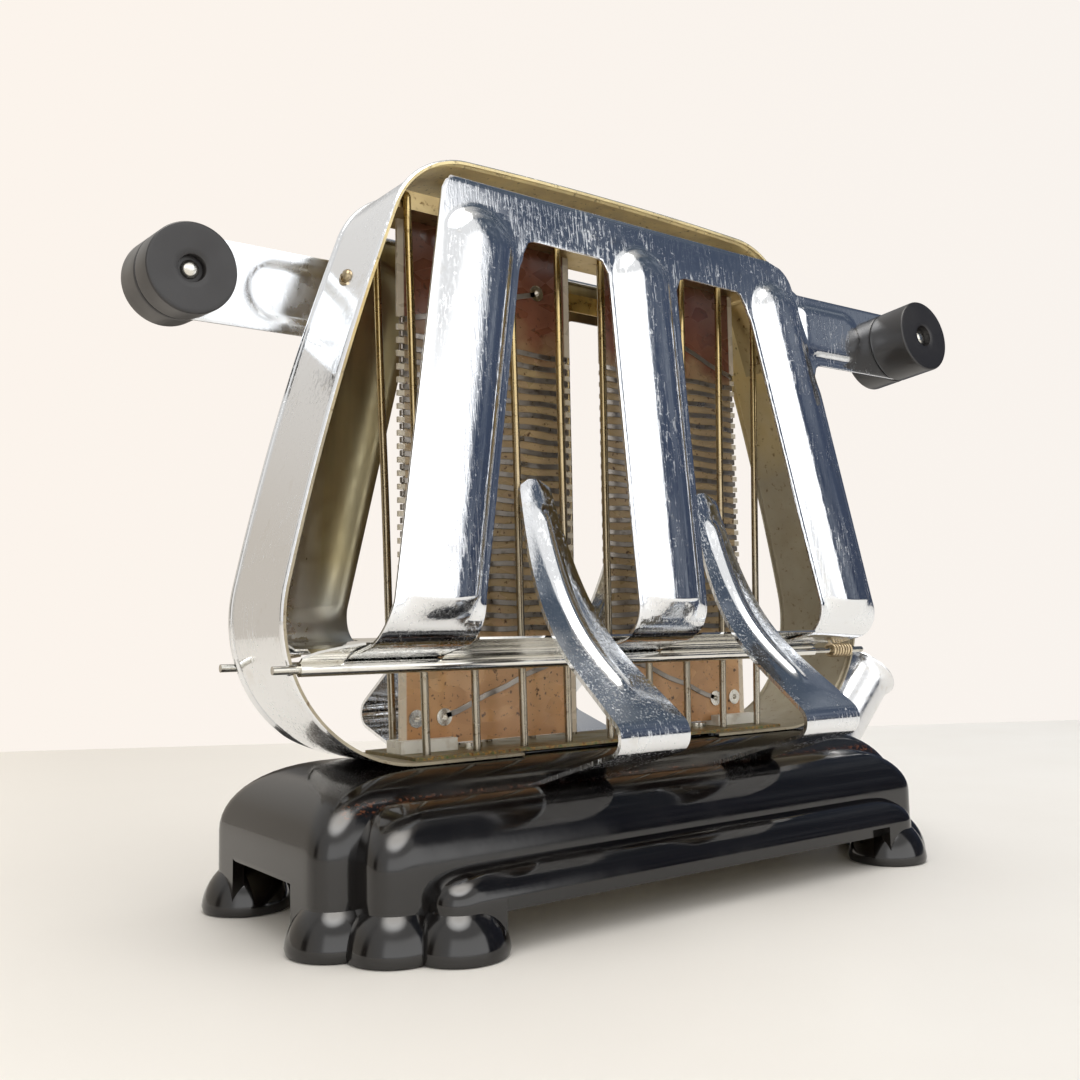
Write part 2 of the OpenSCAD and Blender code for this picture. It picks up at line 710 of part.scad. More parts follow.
// The raised channels of the three slats, as solids of radius r that stop at the crease above the feet
module channels_above(r) {
  difference() {
    for (k = [-1, 0, 1]) {
      lean = k * atan((slat_slope + gap_slope) / 2);
      long = (window_top - 4.5 - foot_height) / cos(lean);
      mid = k * ((slat_edge(foot_height) + gap_edge(foot_height)) / 2);
      translate([mid, -channel_centre, foot_height]) rotate([0, -lean, 0]) {
        translate([0, 0, -2 * channel_half]) cylinder(r = r, h = long + 2 * channel_half, $fn = 96);
        translate([0, 0, long]) sphere(r, $fn = 96);
      }
    }
    at_crease() rotate([crease_tilt / 2, 0, 0]) translate([-110, -30, -60]) cube([220, 90, 60]);
  }
}

// Middle of a channel's front where it meets its foot
module at_crease() {
  translate([0, -door_out - channel_rise, foot_height]) children();
}

// The channels with their lower ends, which are mirror images of them beyond the crease
module channels(r) {
  channels_above(r);
  intersection() {
    at_crease() mirror([0, sin(crease_tilt / 2), -cos(crease_tilt / 2)]) at_crease_back() channels_above(r);
    translate([-100, -40, foot_height / 2]) cube([200, 40, foot_height]);
  }
}

module at_crease_back() {
  translate([0, door_out + channel_rise, -foot_height]) children();
}

// All that lies further out than the sheet of a slat and its foot, moved outwards by off
module beyond_sheet(off) {
  along_x(-100, 100) difference() {
    translate([-40, 0]) square([40 + curl_centre[0], 130]);
    translate([-door_offset - off, foot_height]) square([40, 130]);
    translate(curl_centre) circle(curl_radius + off, $fn = 96);
  }
}

// Foot of a slat seen from the side: curled inwards, then straight to the hinge tube
curl_centre = [-door_offset + curl_radius, foot_height];
ring_mid = (ring_bore + ring_radius) / 2;
curl_turn = atan(-curl_centre[0] / foot_height)
  + asin((curl_radius + ring_mid) / norm(curl_centre));
foot_join = ring_mid * [cos(curl_turn), sin(curl_turn)];
foot_lip = let (e = curl_centre + curl_radius * [-cos(curl_turn), -sin(curl_turn)]) e
  + 7.7 * [sin(curl_turn), -cos(curl_turn)];
function foot_line(end) = concat([[-door_offset, foot_height + 0.3]],
  arc(curl_centre, curl_radius, 180, 180 + curl_turn, 9), [end]);

module slat_foot(x, end, ring) {
  intersection() {
    along_x(x[1], x[2]) polygon(strip(foot_line(end), door_sheet));
    linear_extrude(40, center = true) polygon([[x[0], -door_out - 1], [x[0], -door_out + 0.5], [x[1], -12],
      [x[1], 4], [x[2], 4], [x[2], -12], [x[3], -door_out + 0.5], [x[3], -door_out - 1]]);
  }
  if (ring) difference() {
    translate([x[1], 0, 0]) rotate([0, 90, 0]) cylinder(r = ring_radius, h = x[2] - x[1], $fn = 48);
    translate([x[1] - 1, 0, 0]) rotate([0, 90, 0]) cylinder(r = ring_bore, h = x[2] - x[1] + 2, $fn = 48);
    translate([x[1] - 1, -3, -1.2]) cube([x[2] - x[1] + 2, 2.8, 2.75]);
  }
}

module arm() {
  translate([crease_x, -door_offset, 0]) rotate([0, 0, -arm_turn]) difference() {
    union() {
      along_y(door_sheet) {
        translate([-0.3, arm_edges[0]]) square([arm_reach + 0.3, 2 * arm_half]);
        translate([arm_reach, arm_middle]) circle(arm_half, $fn = 64);
        translate([-0.2, arm_edges[0] - 3.6]) difference() {
          square([4.8, 3.7]);
          translate([4.8, 0]) circle(3.6, $fn = 48);
        }
      }
      translate([0, -door_sheet / 2 - 0.4, 0]) along_y(1) arm_panel(0.3, panel_half);
    }
    translate([0, 0.2, 0]) along_y(door_sheet + 0.6) arm_panel(1, panel_half - 0.7);
    translate([arm_reach, 0, arm_middle]) rotate([90, 0, 0])
      cylinder(r = rivet_radius + 0.2, h = 6, center = true, $fn = 32);
  }
}

// Raised panel of the arm, from the crease beside the slat to a round end
module arm_panel(from, half) {
  translate([panel_end, arm_middle]) circle(half, $fn = 48);
  translate([from, arm_middle - half]) square([panel_end - from, 2 * half]);
}

module door() {
  left = [-slat_edge(foot_height), -slat_side, -58, -gap_edge(foot_height)];
  color([0.8, 0.81, 0.82]) door_frame() {
    difference() {
      union() {
        translate([0, -door_offset, 0]) along_y(door_sheet) door_outline();
        intersection() {
          channels(channel_radius);
          beyond_sheet(0);
        }
        slat_foot(left, foot_join, true);
        slat_foot([-middle_slat + 0.2, -middle_slat + 0.1, middle_slat - 0.1, middle_slat - 0.2],
          foot_join, true);
        slat_foot([gap_edge(foot_height), 58, slat_side, slat_edge(foot_height)], foot_lip, false);
        translate([-58.5, -door_in - 0.2, door_length - 0.5]) rotate([0, 90, 0])
          cylinder(r = roll_radius, h = 110.4, $fn = 32);
      }
      intersection() {
        channels(channel_radius - door_sheet);
        beyond_sheet(-1.1);
      }
    }
    arm();
  }
}

module front_door() {
  door();
}

module rear_door() {
  turned() door();
}

// Toast ledge: a thin sheet that starts as the hinge tube
module ledge() {
  sheet = 0.5;
  side = [[0, 1.35], [-1.5, 2.05], [-3, 2.75], [-4.5, 3.3], [-7.5, 3.85], [-11.1, 4.25], [-17, 4.5]];
  color([0.62, 0.6, 0.5]) door_frame() difference() {
    union() {
      translate([-tube_left, 0, 0]) rotate([0, 90, 0])
        cylinder(r = tube_radius, h = tube_left + tube_right, $fn = 48);
      intersection() {
        along_x(-tube_left, 79) polygon(strip(side, sheet));
        union() {
          for (s = [-1, 1]) translate([s * 34.85 - 22.75, -17, 0]) cube([45.5, 17, 6]);
          translate([-slat_side - 0.4, -11.8, 0]) cube([slat_side + 79.4, 7.3, 6]);
          translate([57, -11.8, 0]) cube([tube_right - 57, 11.8, 6]);
          linear_extrude(6) polygon([[-slat_side - 0.3, 0], [-slat_side - 0.3, -11.8],
            [-tube_left, -1.9], [-tube_left, 0]]);
        }
      }
    }
    translate([-tube_left - 1, 0, 0]) rotate([0, 90, 0]) cylinder(r = tube_bore, h = 200, $fn = 48);
  }
}

module front_ledge() {
  ledge();
}

module rear_ledge() {
  turned() ledge();
}

// Knob frame: middle of the arm's sheet at the knob, +Z away from the door
module knob_frame() {
  door_frame() translate([crease_x, -door_offset, 0]) rotate([0, 0, -arm_turn])
    translate([arm_reach, 0, arm_middle]) rotate([90, 0, 0]) children();
}

module disc(thick) {
  floor = thick - knob_recess;
  translate([0, 0, door_sheet / 2]) rotate_extrude($fn = 96) polygon(concat(
    [[rivet_radius + 0.1, 0], [knob_radius - 0.3, 0], [knob_radius, 0.3]],
    arc([knob_radius - 0.5, thick - 0.5], 0.5, 0, 90, 4),
    [[3.5, thick], [3.3, thick - 0.2], [3.3, floor], [rivet_radius + 0.1, floor]]));
}

module front_knob_outer() {
  color([0.08, 0.08, 0.08]) knob_frame() disc(outer_disc);
}

module front_knob_inner() {
  color([0.08, 0.08, 0.08]) knob_frame() rotate([180, 0, 0]) disc(inner_disc);
}

// Rivet through both discs and the arm, a round head in each recess
module front_knob_rivet() {
  top = door_sheet / 2 + outer_disc - knob_recess;
  low = door_sheet / 2 + inner_disc - knob_recess;
  color([0.8, 0.8, 0.8]) knob_frame() rotate_extrude($fn = 48) polygon(concat(
    back(rivet_head(-low, -1)), rivet_head(top, 1)));
}

// Side view of a rivet's head on a face at height z, from the shank to the axis
function rivet_head(z, way) = concat([[rivet_radius, z], [2.3, z]],
  [for (i = [1:4]) [2.3 * cos(22.5 * i), z + way * 1.5 * sin(22.5 * i)]]);

module rear_knob_outer() {
  turned() front_knob_outer();
}

module rear_knob_inner() {
  turned() front_knob_inner();
}

module rear_knob_rivet() {
  turned() front_knob_rivet();
}

// Door spring as one tube: band leg, coil round the rod, door leg under the foot of the third slat
spring_from = 93.1;
spring_to = 83.9;
spring_path = concat(
  [[spring_from, 7.5, spring_coil], [spring_from, 6.5, spring_coil]],
  [for (i = [0:8 * curls]) let (a = 90 + 45 * i)
    [spring_from + (spring_to - spring_from) * i / (8 * curls), spring_coil * cos(a),
      spring_coil * sin(a)]],
  [[spring_to - 0.8, -1.6, spring_coil + 0.1], [80, -4.2, 2.1], [77, -5.8, 2.42]]);
spring_points = [for (k = [0:last(spring_path)]) let (t = ahead(spring_path, k),
  u = unit(cross(t, [1, 0, 0])), v = cross(t, u))
  for (i = [0:5]) spring_path[k] + spring_wire * (cos(60 * i) * u + sin(60 * i) * v)];

module front_spring() {
  color([0.6, 0.42, 0.3]) translate([0, -hinge_depth, hinge_height]) skin(spring_points, false);
}

module rear_spring() {
  turned() front_spring();
}

// Side view of a finger: down and outwards from its tip, folded back, then into the base
fold_radius = 3.9;
tip = [-15.1, 103.6];
fold_start = [-57, 45.2];
lead = tip + 42 * [-sin(15.8), -cos(15.8)];
trail = fold_start + 25.8 * [cos(37.8), sin(37.8)];
fold_centre = fold_start + fold_radius * [sin(37.8), -cos(37.8)];
upper_line = [for (i = [0:14]) let (t = i / 14) pow(1 - t, 3) * tip + 3 * pow(1 - t, 2) * t * lead
  + 3 * (1 - t) * t * t * trail + pow(t, 3) * fold_start];
fold_line = arc(fold_centre, fold_radius, 127.8, 254, 9);
inner_bend = tail_entry + 7.3 * [cos(tail_fall), -sin(tail_fall)];
finger_line = concat(upper_line, [for (i = [1:9]) fold_line[i]],
  [tail_entry, inner_bend, [inner_bend[0] + 1, finger_flat], [-12.2, finger_flat]]);

module finger() {
  half = finger_width / 2;
  color([0.8, 0.8, 0.8]) difference() {
    intersection() {
      union() {
        along_x(-half, half) polygon(strip(finger_line, finger_sheet));
        along_x(-2.2, 2.2) polygon(strip(beside([for (i = [2:11]) upper_line[i]], -0.9), 0.9));
      }
      along_y(140) polygon(concat([[half, 20], [half, 46]],
        arc([finger_tip / 2 - 3, tip[1] - 3], 3.2, 15, 90, 3),
        arc([3 - finger_tip / 2, tip[1] - 3], 3.2, 90, 165, 3), [[-half, 46], [-half, 20]]));
    }
    translate([0, -finger_screw_y, 20]) cylinder(r = 1.5, h = 12, $fn = 24);
  }
}

module finger_front_left() {
  translate([-finger_x, 0, 0]) finger();
}

module finger_front_right() {
  translate([finger_x, 0, 0]) finger();
}

module finger_rear_left() {
  turned() finger_front_right();
}

module finger_rear_right() {
  turned() finger_front_left();
}

module finger_screws() {
  color([0.65, 0.65, 0.62]) finger_places()
    translate([0, -finger_screw_y, finger_flat - finger_sheet / 2]) rotate([180, 0, 0])
      screw(2.8, 1.6, 1.25, 5.6);
}

// Sweep a side view [radius, height] round a stadium
module stadium_sweep(half, profile) {
  for (a = [0, 180]) rotate([0, 0, a]) {
    translate([0, half, 0]) rotate_extrude(angle = 180, $fn = 64) polygon(profile);
    rotate([90, 0, 0]) linear_extrude(2 * half, center = true) polygon(profile);
  }
}

module inlet_collar() {
  r = collar_radius;
  b = r - 0.8;
  color([0.78, 0.79, 0.8]) inlet_frame() {
    stadium_sweep(collar_half, [[b, -pad_depth - 0.8], [flange_radius, -pad_depth - 0.8],
      [flange_radius, -pad_depth], [r, -pad_depth], [r, -4], [r + 0.3, -2.4], [r + 0.8, -1.2],
      [r + 1.3, -0.6], [r + 1.3, 0],
      [r + 0.7, 0], [r + 0.1, -0.9], [r - 0.4, -2], [b, -4]]);
    translate([0, 0, -pad_depth - 0.8]) linear_extrude(0.8) difference() {
      ears(flange_radius, 1.6);
      stadium(collar_half, r - 0.1);
    }
  }
}

module inlet_insulator() {
  color([0.75, 0.72, 0.66]) inlet_frame() difference() {
    union() {
      translate([0, 0, -pad_depth - 1]) linear_extrude(pad_depth + 1 - insulator_face)
        stadium(collar_half, collar_radius - 0.9);
      translate([0, 0, -pad_depth - 3.3]) linear_extrude(2.5) ears(flange_radius, 1.6);
    }
    for (s = [-1, 1]) translate([0, s * pin_half, -41]) cylinder(r = pin_seat + 0.05, h = 20, $fn = 48);
  }
}

module inlet_pins() {
  color([0.76, 0.7, 0.5]) inlet_frame() for (s = [-1, 1]) translate([0, s * pin_half, 0]) {
    translate([0, 0, -pin_end]) cylinder(r = pin_seat, h = pin_end - insulator_face + 0.1, $fn = 48);
    translate([0, 0, -insulator_face]) cylinder(r = pin_radius, h = insulator_face - pin_tip - 1, $fn = 48);
    translate([0, 0, -pin_tip - 1]) cylinder(r1 = pin_radius, r2 = pin_radius - 1, h = 1, $fn = 48);
    translate([0, 0, -pin_end - pin_stub]) cylinder(r = 1.5, h = pin_stub + 0.5, $fn = 24);
  }
}

module inlet_screws() {
  color([0.65, 0.65, 0.62]) inlet_frame() for (s = [-1, 1])
    translate([0, s * ear_y, -pad_depth - 3.3]) rotate([180, 0, 0]) screw(2.4, 1.4, 1.2, 6.8);
}

// Least gap of a skin of six-sided sections to itself, between sections that lie near to far sections apart
function least(p, near, far) = let (n = len(p) / 6) min([for (k = [0:n - near - 1],
  j = [near:min(far, n - 1 - k)], a = [0:5], b = [0:5]) norm(p[k * 6 + a] - p[(k + j) * 6 + b])]);
echo(least_gap_ribbon = least([for (i = [0:6 * 40 - 1]) ribbon_points[i]], 5, 9));
echo(least_gap_ribbon_end = least([for (i = [6 * 24:-1:1]) ribbon_points[len(ribbon_points) - i]], 5, 9));
echo(least_gap_spring = least(spring_points, 6, 10));

base_shell();
base_cover();
cover_screws();
sole_plate();
frame_band();
frame_screws();
frame_bolts();
frame_nuts();
top_channel();
card_left();
card_right();
winding_left();
winding_right();
terminal_eyelets();
top_link();
supply_strip_left();
supply_strip_right();
ceramic_block_left();
ceramic_block_right();
guard_wires_front();
guard_wires_rear();
hinge_rod_front();
hinge_rod_rear();
front_door();
front_ledge();
front_knob_outer();
front_knob_inner();
front_knob_rivet();
front_spring();
rear_door();
rear_ledge();
rear_knob_outer();
rear_knob_inner();
rear_knob_rivet();
rear_spring();
finger_front_left();
finger_front_right();
finger_rear_left();
finger_rear_right();
finger_screws();
inlet_collar();
inlet_insulator();
inlet_pins();
inlet_screws();
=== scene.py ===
# %% [markdown]
# # A drop side toaster
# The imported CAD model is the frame. Each visible piece is a surface worked out with numpy round that frame,
# or the CAD node itself with a finish of its own. Lengths are in millimetres until a mesh is made.
# %% Load the frame
import math
import bpy
import numpy as np
from mathutils import Matrix, Vector


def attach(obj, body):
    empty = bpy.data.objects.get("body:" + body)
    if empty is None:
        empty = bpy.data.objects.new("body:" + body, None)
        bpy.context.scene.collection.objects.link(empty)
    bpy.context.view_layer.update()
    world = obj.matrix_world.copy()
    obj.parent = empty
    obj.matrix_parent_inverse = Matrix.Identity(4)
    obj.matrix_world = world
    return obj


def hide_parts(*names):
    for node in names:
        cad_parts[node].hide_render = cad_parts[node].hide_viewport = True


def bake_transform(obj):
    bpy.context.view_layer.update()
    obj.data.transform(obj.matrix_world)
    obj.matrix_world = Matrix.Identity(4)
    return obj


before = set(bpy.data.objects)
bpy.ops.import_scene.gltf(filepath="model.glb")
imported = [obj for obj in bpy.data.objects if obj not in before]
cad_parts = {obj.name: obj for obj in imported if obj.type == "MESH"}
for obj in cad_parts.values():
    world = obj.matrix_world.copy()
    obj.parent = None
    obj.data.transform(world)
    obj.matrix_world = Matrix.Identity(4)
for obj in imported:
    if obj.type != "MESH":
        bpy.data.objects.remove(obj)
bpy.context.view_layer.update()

# %% [markdown]
# A piece could be modelled by hand, by pushing and bevelling boxes. Most of this toaster is bent strip, tube and
# turned knobs, and such shapes are formulas, so each surface is worked out as an array of points on a grid. A face
# goes between each four neighbours, and the grid closes on itself where asked. Blender's unit is the metre, so one
# function turns points in millimetres into a mesh.
# %% Mesh helpers
MM = 0.001


def grid_faces(rows, columns, close_rows=False, close_columns=False):
    """Four corners of each cell of a rows by columns grid; a closed direction joins its last line to its first."""
    r = np.arange(rows if close_rows else rows - 1)
    c = np.arange(columns if close_columns else columns - 1)
    r, c = np.meshgrid(r, c, indexing="ij")
    r2, c2 = (r + 1) % rows, (c + 1) % columns
    return np.stack([r * columns + c, r * columns + c2, r2 * columns + c2, r2 * columns + c], -1).reshape(-1, 4)


def make_piece(name, points, faces, material, slot, body="base_frame", replaces=(), parts=None, smooth=40):
    """Mesh object from points in mm and a list of faces; faces may be one array or several of them."""
    arrays = faces if isinstance(faces, (list, tuple)) else [faces]
    flat = [list(map(int, f)) for a in arrays for f in a]
    mesh = bpy.data.meshes.new(name)
    mesh.from_pydata((np.asarray(points, float).reshape(-1, 3) * MM).tolist(), [], flat)
    mesh.validate()
    materials = material if isinstance(material, (list, tuple)) else [material]
    for m in materials:
        mesh.materials.append(m)
    if parts is not None:
        mesh.polygons.foreach_set("material_index", np.asarray(parts, np.int32))
    mesh.polygons.foreach_set("use_smooth", np.ones(len(mesh.polygons), bool))
    if smooth:
        mesh.set_sharp_from_angle(angle=math.radians(smooth))
    piece = bpy.data.objects.new(name, mesh)
    bpy.context.scene.collection.objects.link(piece)
    if body:
        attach(piece, body)
    if replaces:
        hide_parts(*replaces)
    print(f"{name}: {len(mesh.vertices)} points, {len(mesh.polygons)} faces")
    return piece


def join(*shapes):
    """Several (points, faces) shapes as one: each shape's face numbers are moved on by the points before it."""
    points, faces, start = [], [], 0
    for p, f in shapes:
        p = np.asarray(p, float).reshape(-1, 3)
        points.append(p)
        for a in f if isinstance(f, list) else [f]:
            faces.append([[start + i for i in face] for face in np.asarray(a).tolist()])
        start += len(p)
    return np.concatenate(points), faces


def turned(points):
    """Half a turn about the vertical: x and y change sign."""
    return np.asarray(points) * [-1, -1, 1]


def skin(sections, flip=False):
    """Closed tube through an array of equal closed sections, with a flat face at each end."""
    rows, columns = sections.shape[:2]
    faces = grid_faces(rows, columns, close_columns=True)
    ends = [np.arange(columns)[::-1], (rows - 1) * columns + np.arange(columns)]
    if flip:
        faces = faces[:, ::-1]
        ends = [e[::-1] for e in ends]
    return sections.reshape(-1, 3), [faces, ends[:1], ends[1:]]


def revolve(profile, sides=64):
    """Turn a profile of (radius, height) about the local Z axis; both its ends lie on the axis."""
    a = np.linspace(0, 2 * math.pi, sides, endpoint=False)
    body = profile[1:-1]
    ring = np.stack([np.outer(body[:, 0], np.cos(a)), np.outer(body[:, 0], np.sin(a)),
                     np.repeat(body[:, 1:], sides, 1)], -1).reshape(-1, 3)
    poles = np.array([[0, 0, profile[0, 1]], [0, 0, profile[-1, 1]]])
    points = np.concatenate([ring, poles])
    n, last = len(ring), (len(body) - 1) * sides
    k = np.arange(sides)
    low = np.stack([np.full(sides, n), (k + 1) % sides, k], -1)
    high = np.stack([np.full(sides, n + 1), last + k, last + (k + 1) % sides], -1)
    return points, [grid_faces(len(body), sides, close_columns=True), low, high]


def smoothstep(x):
    """0 below 0, 1 above 1, an even S between."""
    x = np.clip(x, 0, 1)
    return x * x * (3 - 2 * x)


print("a closed 4 by 6 grid has", len(grid_faces(4, 6, close_columns=True)), "faces")

# %% [markdown]
# Colours are written as the sRGB hex values that a paint program shows. A shader works in linear light, so one
# function converts them. A finish is a small graph of nodes. It could be clicked together in the editor, but in code
# one function that adds a node, sets it and links it keeps each graph short enough to read as a formula.
# %% Material helpers


def colour(code, alpha=1.0):
    """Linear RGBA of an sRGB hex colour: the sRGB curve undone channel by channel."""
    c = np.array([int(code[i:i + 2], 16) for i in (1, 3, 5)]) / 255
    return (*np.where(c <= 0.04045, c / 12.92, ((c + 0.055) / 1.055) ** 2.4).tolist(), alpha)


def add(tree, kind, *values, out=0, stops=(), **words):
    """Add a node, or take the one that is given, set and link it, and return its output out. Values go into its
    inputs in their order, and words with a capital into the inputs of that name; each is a number, a colour or
    another node's output. Other words are the node's settings, and stops are the colours of a ramp."""
    node = tree.nodes.new("ShaderNode" + kind) if isinstance(kind, str) else kind
    for key in [key for key in words if key[0].islower()]:
        setattr(node, key, words.pop(key))
    pairs = list(zip([socket for socket in node.inputs if socket.enabled], values))
    pairs += [(node.inputs[key.replace("_", " ")], value) for key, value in words.items()]
    for socket, value in pairs:
        if isinstance(value, bpy.types.NodeSocket):
            tree.links.new(value, socket)
        else:
            socket.default_value = value
    for i, (position, code) in enumerate(stops):
        spots = node.color_ramp.elements
        spot = spots[i] if i < len(spots) else spots.new(position)
        spot.position, spot.color = position, colour(code)
    return node.outputs[out] if isinstance(out, str) else [end for end in node.outputs if end.enabled][out]


def material(name, **sockets):
    """A material, its node tree and its Principled shader, with plain numbers set on the shader's own sockets."""
    m = bpy.data.materials.new(name)
    m.use_nodes = True
    shader = m.node_tree.nodes["Principled BSDF"]
    add(m.node_tree, shader, **sockets)
    return m, m.node_tree, shader


print("ivory in linear light:", [round(c, 3) for c in colour("#fffff0")])

# %% [markdown]
# The sheet parts are steel under nickel and a thin coat of chromium: a mirror with a faint blue-grey cast. A plain
# mirror would look new. Years of wiping leave fine scratches along the sheet, small dull spots and a slow haze, and
# these go into the roughness, because a scratch shows only where the plate mirrors something dark. The ledges sit
# under the bread, so theirs is the same coat with more stain and fewer scratches.
# %% Finishes: plated metal


def plated(name, code="#e9ebee", stain="#b9ab8c", stained=0.25, dull=0.1, wear=1.0):
    """Roughness is patches times wear times (hairs up the sheet + hairs across it + dull spots), plus a haze.
    Hairs are 0.5 mm noise drawn out along Z, coarser than real ones so that they show in the picture."""
    m, t, s = material(name, Metallic=1.0)
    spot = add(t, "TexCoord", out="Object")
    hairs = add(t, "TexNoise", add(t, "Mapping", spot, Scale=(1, 1, 0.03)), 1 / (0.5 * MM), 3)
    cross = add(t, "TexNoise", add(t, "Mapping", spot, Scale=(0.5, 1, 0.12)), 1 / (0.5 * MM), 2)
    spots = add(t, "TexNoise", spot, 1 / (1.1 * MM), 4, 0.65)
    patches = add(t, "MapRange", add(t, "TexNoise", spot, 1 / (16 * MM), 3), 0.42, 0.66, 0.25, 1)
    scratched = add(t, "Math", add(t, "MapRange", hairs, 0.5, 0.66, 0, 0.4),
                    add(t, "MapRange", cross, 0.6, 0.74, 0, 0.3))
    marked = add(t, "Math", scratched, add(t, "MapRange", spots, 0.57, 0.68, 0, 0.42))
    worn = add(t, "Math", marked, wear, operation="MULTIPLY")
    haze = add(t, "MapRange", add(t, "TexNoise", spot, 1 / (24 * MM), 3), 0.4, 0.75, 0.035, dull)
    rough = add(t, "Math", add(t, "Math", worn, patches, operation="MULTIPLY"), haze)
    stains = add(t, "MapRange", add(t, "TexNoise", spot, 1 / (7 * MM), 5, 0.6), 0.6, 0.78, 0, stained)
    waves = add(t, "Math", add(t, "TexNoise", spot, 1 / (34 * MM), 1), add(t, "MapRange", worn, 0, 0.6, 0, 0.06))
    add(t, s, Base_Color=add(t, "Mix", stains, colour(code), colour(stain), data_type="RGBA"), Roughness=rough,
        Normal=add(t, "Bump", Height=waves, Distance=0.3 * MM, Strength=0.35))
    return m


polished_chrome = plated("chrome plated steel")
stained_chrome = plated("heat stained plated steel", "#e0ded8", "#8a734c", 0.6, 0.16, 0.35)
print("plated finishes:", polished_chrome.name, "and", stained_chrome.name)

# %% [markdown]
# Steel near the hot wires is tinted by a film of oxide that thickens with heat: grey below, straw and then bright
# gold towards the crown. A painted mask could carry that, but the tint follows the height above the base, so a
# colour ramp over Z is enough, with a wandering border. Burned crumbs leave brown freckles. Inside the band the
# crown's stop is also paler than the tint alone, painted light where the crown's underside is strongly lit.
# %% Finishes: heated metal


def heated(name, cool, straw, crown, low, high, rough=(0.24, 0.46), metal=1.0):
    """Colour by height: cool at low mm, straw at 0.6 of the way and the crown's colour at high mm, where the height
    wanders by 12 mm. Brown clouds and small dark freckles lie over it."""
    m, t, s = material(name, Metallic=metal)
    spot = add(t, "TexCoord", out="Object")
    sway = add(t, "MapRange", add(t, "TexNoise", spot, 1 / (18 * MM), 4), 0.3, 0.7, -12 * MM, 12 * MM)
    height = add(t, "Math", add(t, "SeparateXYZ", spot, out="Z"), sway)
    share = add(t, "MapRange", height, low * MM, high * MM, 0, 1)
    tone = add(t, "ValToRGB", share, stops=((0, cool), (0.6, straw), (1, crown)))
    cloud = add(t, "MapRange", add(t, "TexNoise", spot, 1 / (9 * MM), 4), 0.35, 0.7, 0, 0.35)
    clouded = add(t, "Mix", cloud, tone, colour("#86765a"), data_type="RGBA")
    freckles = add(t, "MapRange", add(t, "TexNoise", spot, 1 / (1.6 * MM), 4, 0.6), 0.6, 0.72, 0, 0.75)
    pits = add(t, "TexNoise", spot, 1 / (0.8 * MM), 2)
    add(t, s, Base_Color=add(t, "Mix", freckles, clouded, colour("#5b4222"), data_type="RGBA"),
        Roughness=add(t, "MapRange", add(t, "TexNoise", spot, 1 / (6 * MM), 4), 0.3, 0.7, *rough),
        Normal=add(t, "Bump", Height=pits, Distance=0.03 * MM, Strength=0.4))
    return m


def door_back():
    """Inside of a door: the plate has gone dull and olive in soft upright bands where it faces the wires, is bluish
    near the foot, and only satin on the arm, which stays clear of the heat."""
    m, t, s = material("heat dulled door inside", Metallic=1.0)
    spot = add(t, "TexCoord", out="Object")
    side = add(t, "Math", add(t, "SeparateXYZ", spot, out="X"), operation="ABSOLUTE")
    height = add(t, "SeparateXYZ", spot, out="Z")
    bands = add(t, "TexNoise", add(t, "Mapping", spot, Scale=(1, 1, 0.12)), 1 / (9 * MM), 3)
    olive = add(t, "ValToRGB", bands, stops=((0.3, "#8b8470"), (0.5, "#b0a787"), (0.7, "#c8bb92")))
    near_foot = add(t, "MapRange", height, 68 * MM, 86 * MM, 0.75, 0)
    tint = add(t, "Mix", near_foot, olive, colour("#a9adb0"), data_type="RGBA")
    on_arm = add(t, "MapRange", side, 64 * MM, 74 * MM, 0, 1)
    uneven = add(t, "MapRange", add(t, "TexNoise", spot, 1 / (4 * MM), 4), 0.3, 0.7, 0.34, 0.5)
    smoother = add(t, "MapRange", on_arm, 0, 1, 0, 0.16)
    brushed = add(t, "TexNoise", add(t, "Mapping", spot, Scale=(1, 1, 0.1)), 1 / (0.6 * MM), 2)
    add(t, s, Base_Color=add(t, "Mix", on_arm, tint, colour("#e6e8ea"), data_type="RGBA"),
        Roughness=add(t, "Math", uneven, smoother, operation="SUBTRACT"),
        Normal=add(t, "Bump", Height=add(t, "Math", bands, brushed), Distance=0.04 * MM, Strength=0.4))
    return m


# The band's crown stop is partly the gold of the oxide and partly painted light: paler than the tint, where the
# crown's underside is strongly lit.
band_inside_tint_and_painted_light = heated("heat tinted band inside with painted light at the crown", "#aca38e", "#dcc48a", "#fbe9b4", 110, 166, (0.34, 0.56), 0.6)
dull_steel = heated("heat stained steel", "#b0a88f", "#b5a988", "#cdb37e", 30, 190, (0.3, 0.5))
guard_wire = heated("heat tinted wire", "#a39d90", "#a8987a", "#c4ad78", 50, 150, (0.18, 0.34))
door_inside = door_back()
print("heated finishes:", [m.name for m in (band_inside_tint_and_painted_light, dull_steel, guard_wire, door_inside)])

# %% [markdown]
# Screws, rods, eyelets and strips are turned, drawn or rolled, and left bare or thinly plated. They are too small
# for a finish each, so one function gives them all a fine grain and spots of tarnish, and takes their colours.
# %% Finishes: small bare metal


def bright(name, code, rough, tarnish="#5a4a38", tarnished=0.6):
    """Base colour with 2.2 mm spots of tarnish, an uneven gloss round rough, and a 0.35 mm grain."""
    m, t, s = material(name, Metallic=1.0)
    spot = add(t, "TexCoord", out="Object")
    spots = add(t, "MapRange", add(t, "TexNoise", spot, 1 / (2.2 * MM), 4), 0.55, 0.75, 0, tarnished)
    gloss = add(t, "TexNoise", spot, 1 / (3 * MM), 3)
    grain = add(t, "TexNoise", spot, 1 / (0.35 * MM), 2)
    add(t, s, Base_Color=add(t, "Mix", spots, colour(code), colour(tarnish), data_type="RGBA"),
        Roughness=add(t, "MapRange", gloss, 0.3, 0.7, rough * 0.7, rough * 1.4),
        Normal=add(t, "Bump", Height=grain, Distance=0.02 * MM, Strength=0.5))
    return m


